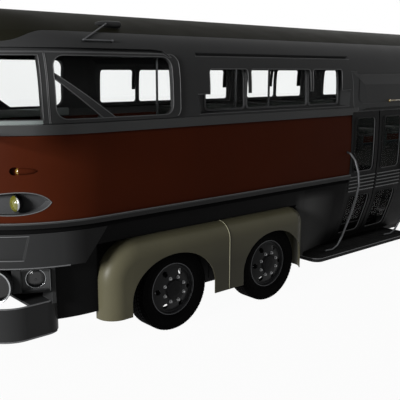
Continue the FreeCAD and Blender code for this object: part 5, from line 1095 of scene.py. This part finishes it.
END_START = 7.8
ANYWHERE = -99.0
WINDOW_LEVELS = (2.525, 3.2)
RAIL_LEVELS = (1.53, 1.55)
LIP_LEVELS, LIP_START = (1.055, 1.085), 8.2
NACELLE_LEVELS = (1.585, 1.875)
GRILLE_LEVELS = (1.14, 1.41)
CHIN_LEVELS = ((0.34, 0.36), (0.69, 0.71))
DOOR_BARS = (1.28, 1.333, 1.386, 1.438, 1.49)
BAR_HALF, BAR_END, BAR_SUNK = 0.009, 0.006, 0.001
# Radius of each bead
WINDOW_BEAD, GASKET_BEAD, FRAME_BEAD = 0.0048, 0.0055, 0.0055
LIP_BEAD, CHIN_BEAD, RAIL_BEAD = 0.0075, 0.009, 0.004
STRIP_BEAD, PANE_BEAD, NOSING_BEAD, WELT_BEAD = 0.0075, 0.006, 0.006, 0.0045
SHEET = 0.002
# Where the two fender pressings meet
SEAM = (6.033, 6.04)
BOARD_TOP, TREAD_RADIUS, TREAD_ENDS = 0.4, 0.005, (2.06, 4.2)
TREAD_LINES = (0.87, 0.93, 0.99, 1.05, 1.11, 1.17)


def looks_out(face):
    """Whether a face looks away from the coach's middle line, and away from its ends where they round off."""
    middle = face.calc_center_median()
    over = math.copysign(max(0.0, abs(middle.x) - END_START), middle.x)
    return face.normal.dot(Vector((over, middle.y, 0.0)).normalized()) > 0.5


def rim_between(low, high, reach=0.0, ahead=ANYWHERE):
    """A test for edges that end the outer skin between two heights, ahead of a place."""
    def keep(edge):
        middle = (edge.verts[0].co + edge.verts[1].co) / 2
        nose = max(0.0, middle.x - NOSE_START) / NOSE_REACH
        outer = math.hypot(nose, middle.y / NOSE_HALF) > reach
        ends = [looks_out(face) for face in edge.link_faces]
        return low < middle.z < high and middle.x > ahead and outer and ends[0] != ends[1]
    return keep


def window_trim():
    """Light beads round the window openings, and rubber round each pane."""
    for end, body in (("front", "front_section"), ("rear", "rear_section")):
        runs = sharp_runs("upper_body_" + end, rim_between(*WINDOW_LEVELS))
        beads("window_beads_" + end, runs, WINDOW_BEAD, "window_bead", body)
        runs = sharp_runs("glass_" + end, lambda edge: any(looks_out(face) for face in edge.link_faces))
        beads("window_gaskets_" + end, runs, GASKET_BEAD, "dark_bead", body, 6)


def nose_trim():
    """Beads round the headlamp nacelles and the grille, the bumper's rolled lips and the rub rails' edges."""
    for name, node, levels, reach, ahead, radius in (
            ("nacelle_beads", "band_front", (NACELLE_LEVELS,), 0.984, AXLE_1 + 1.49, FRAME_BEAD),
            ("grille_beads", "bumpers_front", (GRILLE_LEVELS,), 0.94, AXLE_1 + 1.7, FRAME_BEAD),
            ("bumper_lip", "bumpers_front", (LIP_LEVELS,), 0.97, LIP_START, LIP_BEAD),
            ("chin_lips", "bumpers_front", CHIN_LEVELS, 0.9, ANYWHERE, CHIN_BEAD)):
        runs = [run for pair in levels for run in sharp_runs(node, rim_between(*pair, reach, ahead))]
        beads(name, runs, radius, "trim_bead", "front_section")
    for end, body in (("front", "front_section"), ("rear", "rear_section")):
        runs = sharp_runs("rails_" + end, rim_between(*RAIL_LEVELS))
        beads("rub_rail_bead_" + end, runs, RAIL_BEAD, "trim_bead", body, 6)


def lamp_bezels():
    """A square frame round each lower lamp, flaring out of a flat plate with a round hole."""
    shape = bmesh.new()
    half_wide, half_high, hole, splay, depth, plate_y = 0.146, 0.116, 0.1045, 0.012, 0.092, -0.104
    lie = Matrix.Translation((0, plate_y, 0)) @ Matrix.Rotation(-math.pi / 2, 4, "X")
    bmesh.ops.create_circle(shape, segments=48, radius=hole, matrix=lie)
    grown = bmesh.ops.extrude_edge_only(shape, edges=list(shape.edges))["geom"]
    square = [g for g in grown if isinstance(g, bmesh.types.BMVert)]
    for vert in square:
        x, z = vert.co.x / hole, vert.co.z / hole
        share = max(abs(x), abs(z))
        vert.co.x, vert.co.z = x / share * (half_wide - splay), z / share * (half_high - splay)
    edges = [e for e in shape.edges if all(v in square for v in e.verts)]
    flare = bmesh.ops.extrude_edge_only(shape, edges=edges)["geom"]
    mouth = [g for g in flare if isinstance(g, bmesh.types.BMVert)]
    for vert in mouth:
        vert.co.x *= half_wide / (half_wide - splay)
        vert.co.z *= half_high / (half_high - splay)
        vert.co.y += depth
    bmesh.ops.solidify(shape, geom=shape.faces, thickness=SHEET)
    x, y, heading = OUTER_LAMP
    spots = [aimed((AXLE_1 + x, y, LOWER_LAMP_Z), heading, side) for side in (LEFT, RIGHT)]
    finished("lower_lamp_bezels", copied(shape, spots), "bezel_paint", "front_section", 30.0)


def bar_runs(node):
    """The door's raised bars as runs along their outer faces."""
    runs = []
    for level in DOOR_BARS:
        face = [v.co for v in nodes[node].data.vertices if abs(v.co.z - level) < BAR_HALF]
        out = max(point.y for point in face)
        xs = [point.x for point in face if point.y > out - 0.003]
        ends = (min(xs) + BAR_END, max(xs) - BAR_END)
        runs.append([Vector((x, out - BAR_SUNK, level)) for x in ends])
    return runs


def door_trim():
    """Polished strips on the door bars and beads round the door panes."""
    for leaf in ("front", "rear"):
        body = "door_leaf_" + leaf
        beads("door_strips_" + leaf, bar_runs("door_" + leaf), STRIP_BEAD, "trim_bead", body)
        runs = sharp_runs("door_glass_" + leaf, lambda edge: any(looks_out(face) for face in edge.link_faces))
        beads("door_pane_beads_" + leaf, runs, PANE_BEAD, "trim_bead", body)


def step_trim():
    """A metal nosing round the step board and raised treads along it."""
    runs = sharp_runs("step_board", lambda edge: min(v.co.z for v in edge.verts) > BOARD_TOP - 0.005)
    beads("step_nosing", runs, NOSING_BEAD, "trim_bead", "front_section")
    rear, front = TREAD_ENDS
    treads = [rod((rear, y, BOARD_TOP), (front, y, BOARD_TOP), TREAD_RADIUS, 8) for y in TREAD_LINES]
    finished("step_treads", joined(treads), "dark_rubber_coat", "front_section")


def fender_welts():
    """The welt over the seam between the two fender pressings."""
    runs = sharp_runs("fenders_front", lambda edge: all(SEAM[0] < v.co.x < SEAM[1] for v in edge.verts))
    beads("fender_welts", runs, WELT_BEAD, "bead_paint", "front_section", 6)


# Folded sheets that close the wheel arches and the gap under the doors, and the rods that stiffen them
SHEET_EASE = 0.004
WELL_WALL, WELL_WALL_PLACE = (0.46, 0.012, 0.84), (6.03, 0.88, 0.77)
WELL_RIBS, WELL_RIB_Y, WELL_RIB_ENDS, WELL_RIB = (5.89, 6.03, 6.17), 0.887, (0.4, 1.15), 0.01
FLANGE, FLANGE_PLACE = (0.012, 0.17, 0.76), (4.592, 0.965, 0.73)
FLANGE_HEM_X, FLANGE_HEM_Y, FLANGE_HEM_ENDS, FLANGE_HEM = 4.6, 0.886, (0.36, 1.1), 0.009
APRON, APRON_PLACE = (2.8, 0.012, 0.3), (2.92, 0.764, 0.51)
APRON_HEM_Y, APRON_HEM_Z, APRON_HEM_ENDS, APRON_HEM = 0.77, 0.655, (1.53, 4.31), 0.01


def on_side(place, side):
    """A place mirrored to one side of the coach."""
    x, y, z = place
    return (x, side * y, z)


def upright(x, y, ends, radius):
    """A rod that stands from one height to another."""
    return rod((x, y, ends[0]), (x, y, ends[1]), radius, 10)


def lengthwise(ends, y, z, radius):
    """A rod that lies along the coach."""
    return rod((ends[0], y, z), (ends[1], y, z), radius, 10)


def wheel_well_panels():
    """Ribbed walls between the steered wheels, and the front fenders' inturned rear flanges."""
    walls, flanges = [], []
    for side in (LEFT, RIGHT):
        walls.append(placed_box(WELL_WALL, SHEET_EASE, on_side(WELL_WALL_PLACE, side)))
        walls += [upright(x, side * WELL_RIB_Y, WELL_RIB_ENDS, WELL_RIB) for x in WELL_RIBS]
        flanges.append(placed_box(FLANGE, SHEET_EASE, on_side(FLANGE_PLACE, side)))
        flanges.append(upright(FLANGE_HEM_X, side * FLANGE_HEM_Y, FLANGE_HEM_ENDS, FLANGE_HEM))
    finished("wheel_well_walls", joined(walls), "black_paint", "front_section")
    finished("fender_flanges", joined(flanges), "olive_paint", "front_section")


def sill_apron():
    """The folded plate that closes the gap between the step board and the body."""
    sheet = placed_box(APRON, SHEET_EASE, APRON_PLACE)
    hem = lengthwise(APRON_HEM_ENDS, APRON_HEM_Y, APRON_HEM_Z, APRON_HEM)
    finished("sill_apron", joined([sheet, hem]), "black_paint", "front_section")


# Tail lamps

TAIL_RIM = ((0.0665, -0.002), (0.0735, -0.002), (0.0742, 0.006), (0.0715, 0.0095), (0.067, 0.0085),
            (0.0655, 0.003))
TAIL_LENS = ((0.067, 0.004), (0.055, 0.0072), (0.032, 0.0092), (0.0, 0.01))
TAIL_BODY = ((0.0, -0.0505), (0.066, -0.0505), (0.0705, -0.03), (0.0715, -0.001))
TAIL_LAMP = (-9.115, 0.9, 1.9)


def tail_lamps():
    """Round red lamps with plated rims on the tail."""
    spots = [aimed(TAIL_LAMP, 180.0, side) for side in (LEFT, RIGHT)]
    for name, outline, finish, kind in (("tail_lamp_shells", TAIL_BODY, "cap_paint", "red_lens"),
                                        ("tail_lamp_rims", TAIL_RIM, "bright_metal", "bright_metal"),
                                        ("tail_lamp_lenses", TAIL_LENS, "red_lens", "red_lens")):
        piece = finished(name, copied(lathe(outline, 40), spots), finish, "rear_section", 35.0)
        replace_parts(piece, "lamps_rear")


# Mirrors and saloon

MIRROR_PANE, MIRROR_PLACE, MIRROR_EASE = (0.006, 0.155, 0.385), (9.0315, 1.392, 2.66), 0.0028
RAIL_Y, RAIL_RADIUS, RAIL_KNOB, POST_FOOT, POST_HEAD = 0.34, 0.016, 0.024, 1.5, 3.2
# Each section's stanchions along the coach, and the ends of its ceiling rails
SALOON_POSTS = (("front_section", (5.9, 4.4, 0.4, -1.2), -2.0, 6.9),
                ("rear_section", (-4.2, -5.7, -7.2), -8.4, -3.6))
LEDGE_LEVEL, LEDGE_SHARE = 2.42, 0.93
# How far the ledge rises at each fold, and how far the fold draws in
LEDGE_FOLDS = ((0.09, 1.0), (0.012, 0.985), (0.0, 0.9))
LEDGE_SIDE, LEDGE_SIDE_PLACE, LEDGE_EASE = (1.0, 0.05, 0.1), (7.33, 1.138, 2.47), 0.012
# The covered steps: top and outer edge of each, the size of one, its middle and its nosing's ends
ENTRANCE = ((0.66, 0.78), (0.93, 0.6), (1.2, 0.42))
TREAD_BLOCK, TREAD_EASE, TREAD_X = (1.24, 0.2, 0.26), 0.008, 2.96
EDGE_ENDS, EDGE_DROP, EDGE_RADIUS = (2.35, 3.57), 0.01, 0.009


def mirror_glasses():
    """The silvered panes in the door mirrors, looking back along the coach."""
    panes = [placed_box(MIRROR_PANE, MIRROR_EASE, on_side(MIRROR_PLACE, side)) for side in (LEFT, RIGHT)]
    finished("mirror_glasses", joined(panes), "mirror_glass", "front_section")


def saloon_rails():
    """Stanchions from floor to ceiling and grab rails along it."""
    for body, posts, start, end in SALOON_POSTS:
        rails = []
        for y in (LEFT * RAIL_Y, RIGHT * RAIL_Y):
            rails.append(rod((start, y, POST_HEAD), (end, y, POST_HEAD), RAIL_RADIUS))
            for x in posts:
                rails.append(rod((x, y, POST_FOOT), (x, y, POST_HEAD), RAIL_RADIUS))
                rails.append(knob((x, y, POST_HEAD), RAIL_KNOB))
        finished("saloon_rails_" + body, joined(rails), "rail_metal", body)


def screen_ledge():
    """The light ledge that runs round inside the cab, below its windows."""
    shape = bmesh.new()
    size = Matrix.Diagonal((NOSE_REACH * LEDGE_SHARE, NOSE_HALF * LEDGE_SHARE, 1, 1))
    lie = Matrix.Translation((NOSE_START, 0, LEDGE_LEVEL)) @ size
    bmesh.ops.create_circle(shape, segments=96, radius=1.0, matrix=lie)
    geometry = list(shape.verts) + list(shape.edges)
    bmesh.ops.bisect_plane(shape, geom=geometry, dist=0.0001, plane_co=(NOSE_START, 0, 0), plane_no=(1, 0, 0),
                           clear_inner=True)
    for height, inward in LEDGE_FOLDS:
        edges = [e for e in shape.edges if e.is_wire or all(v.tag for v in e.verts)]
        grown = bmesh.ops.extrude_edge_only(shape, edges=edges)["geom"]
        for vert in shape.verts:
            vert.tag = False
        for vert in (g for g in grown if isinstance(g, bmesh.types.BMVert)):
            vert.co.z += height
            vert.co.x = NOSE_START + (vert.co.x - NOSE_START) * inward
            vert.co.y *= inward
            vert.tag = True
    sides = [placed_box(LEDGE_SIDE, LEDGE_EASE, on_side(LEDGE_SIDE_PLACE, side)) for side in (LEFT, RIGHT)]
    finished("screen_ledge", joined([shape] + sides), "ledge_plastic", "front_section")


def entrance_steps():
    """Three covered steps inside the doors, each with a bright nosing."""
    deep, high = TREAD_BLOCK[1:]
    treads = [placed_box(TREAD_BLOCK, TREAD_EASE, (TREAD_X, y - deep / 2, level - high / 2))
              for level, y in ENTRANCE]
    nosings = [lengthwise(EDGE_ENDS, y, level - EDGE_DROP, EDGE_RADIUS) for level, y in ENTRANCE]
    finished("entrance_steps", joined(treads), "floor_ply", "front_section")
    finished("step_edges", joined(nosings), "rail_metal", "front_section")


# Studio

# Area lamps: name, place, what each one faces, its sides and its power
LAMPS = (
    ("key_light", (25.0, 4.0, 6.0), (6.0, 0.0, 1.6), (5.0, 4.0), 4500.0),
    ("side_light", (2.0, 16.0, 9.0), (0.0, 0.0, 1.5), (14.0, 4.0), 30.0),
    ("back_light", (-16.0, -10.0, 9.0), (-3.0, 0.0, 1.5), (10.0, 4.0), 220.0),
    ("saloon_light_front", (2.4, 0.0, 3.18), (2.4, 0.0, 0.0), (8.6, 0.5), 22.0),
    ("saloon_light_rear", (-6.2, 0.0, 3.18), (-6.2, 0.0, 0.0), (4.6, 0.5), 12.0),
)
FLOOR_HALF, FLOOR_COLOUR, FLOOR_GLOW = 60.0, (0.45, 0.45, 0.45), 0.96
WORLD_DIM = 0.07


def bright_to_sight(tree, dim, bright):
    """A strength that is dim as light, and bright where the camera, gloss or glass looks at it."""
    rays = tree.nodes.new("ShaderNodeLightPath")
    total = rays.outputs["Is Camera Ray"]
    for kind in ("Is Glossy Ray", "Is Transmission Ray"):
        total = maths(tree, "MAXIMUM", total, rays.outputs[kind])
    direct = maths(tree, "LESS_THAN", rays.outputs["Diffuse Depth"], 0.5)
    return span(tree, maths(tree, "MULTIPLY", total, direct), dim, bright)


def floor_material(name, colour, glow):
    """Matt pale floor that shows almost white and keeps the soft shadow."""
    material, tree, shader = new_material(name)
    drift = ramp(tree, noise(tree, 0.4, 2.0), [(0.3, tuple(c * 0.985 for c in colour)), (0.7, colour)])
    tree.links.new(drift, shader.inputs["Base Color"])
    shader.inputs["Roughness"].default_value = 0.9
    white = add(tree, "ShaderNodeEmission", Strength=1.0)
    blend = tree.nodes.new("ShaderNodeMixShader")
    tree.links.new(bright_to_sight(tree, 0.0, glow), blend.inputs["Fac"])
    tree.links.new(shader.outputs["BSDF"], blend.inputs[1])
    tree.links.new(white.outputs["Emission"], blend.inputs[2])
    tree.links.new(blend.outputs["Shader"], tree.nodes["Material Output"].inputs["Surface"])
    return material


def softbox(name, place, target, size, power):
    """A rectangular area lamp turned to face a target, not seen through glass."""
    data = bpy.data.lights.new(name, "AREA")
    data.shape = "RECTANGLE"
    data.size, data.size_y = size
    data.energy = power
    lamp = bpy.data.objects.new(name, data)
    lamp.location = place
    lamp.rotation_euler = (Vector(target) - Vector(place)).to_track_quat("-Z", "Y").to_euler()
    lamp.visible_transmission = False
    bpy.context.scene.collection.objects.link(lamp)


def studio():
    """The pale floor, the white surroundings and the lamps."""
    shape = bmesh.new()
    bmesh.ops.create_grid(shape, x_segments=1, y_segments=1, size=FLOOR_HALF)
    mesh = bpy.data.meshes.new("floor")
    shape.to_mesh(mesh)
    shape.free()
    floor = bpy.data.objects.new("floor", mesh)
    bpy.context.scene.collection.objects.link(floor)
    mesh.materials.append(floor_material("pale_floor", FLOOR_COLOUR, FLOOR_GLOW))
    world = bpy.data.worlds.new("studio")
    bpy.context.scene.world = world
    world.use_nodes = True
    tree = world.node_tree
    background = tree.nodes["Background"]
    background.inputs["Color"].default_value = (1, 1, 1, 1)
    tree.links.new(bright_to_sight(tree, WORLD_DIM, 1.0), background.inputs["Strength"])
    for lamp in LAMPS:
        softbox(*lamp)
    bpy.context.scene.view_settings.view_transform = "Standard"


dress_nodes()
photo_camera()
tyres()
road_wheels()
bellows()
seats()
headlamps()
lower_lamps()
marker_lenses()
roof_lamps()
tube_lamp()
window_trim()
nose_trim()
lamp_bezels()
door_trim()
step_trim()
fender_welts()
wheel_well_panels()
sill_apron()
tail_lamps()
mirror_glasses()
saloon_rails()
screen_ledge()
entrance_steps()
studio()
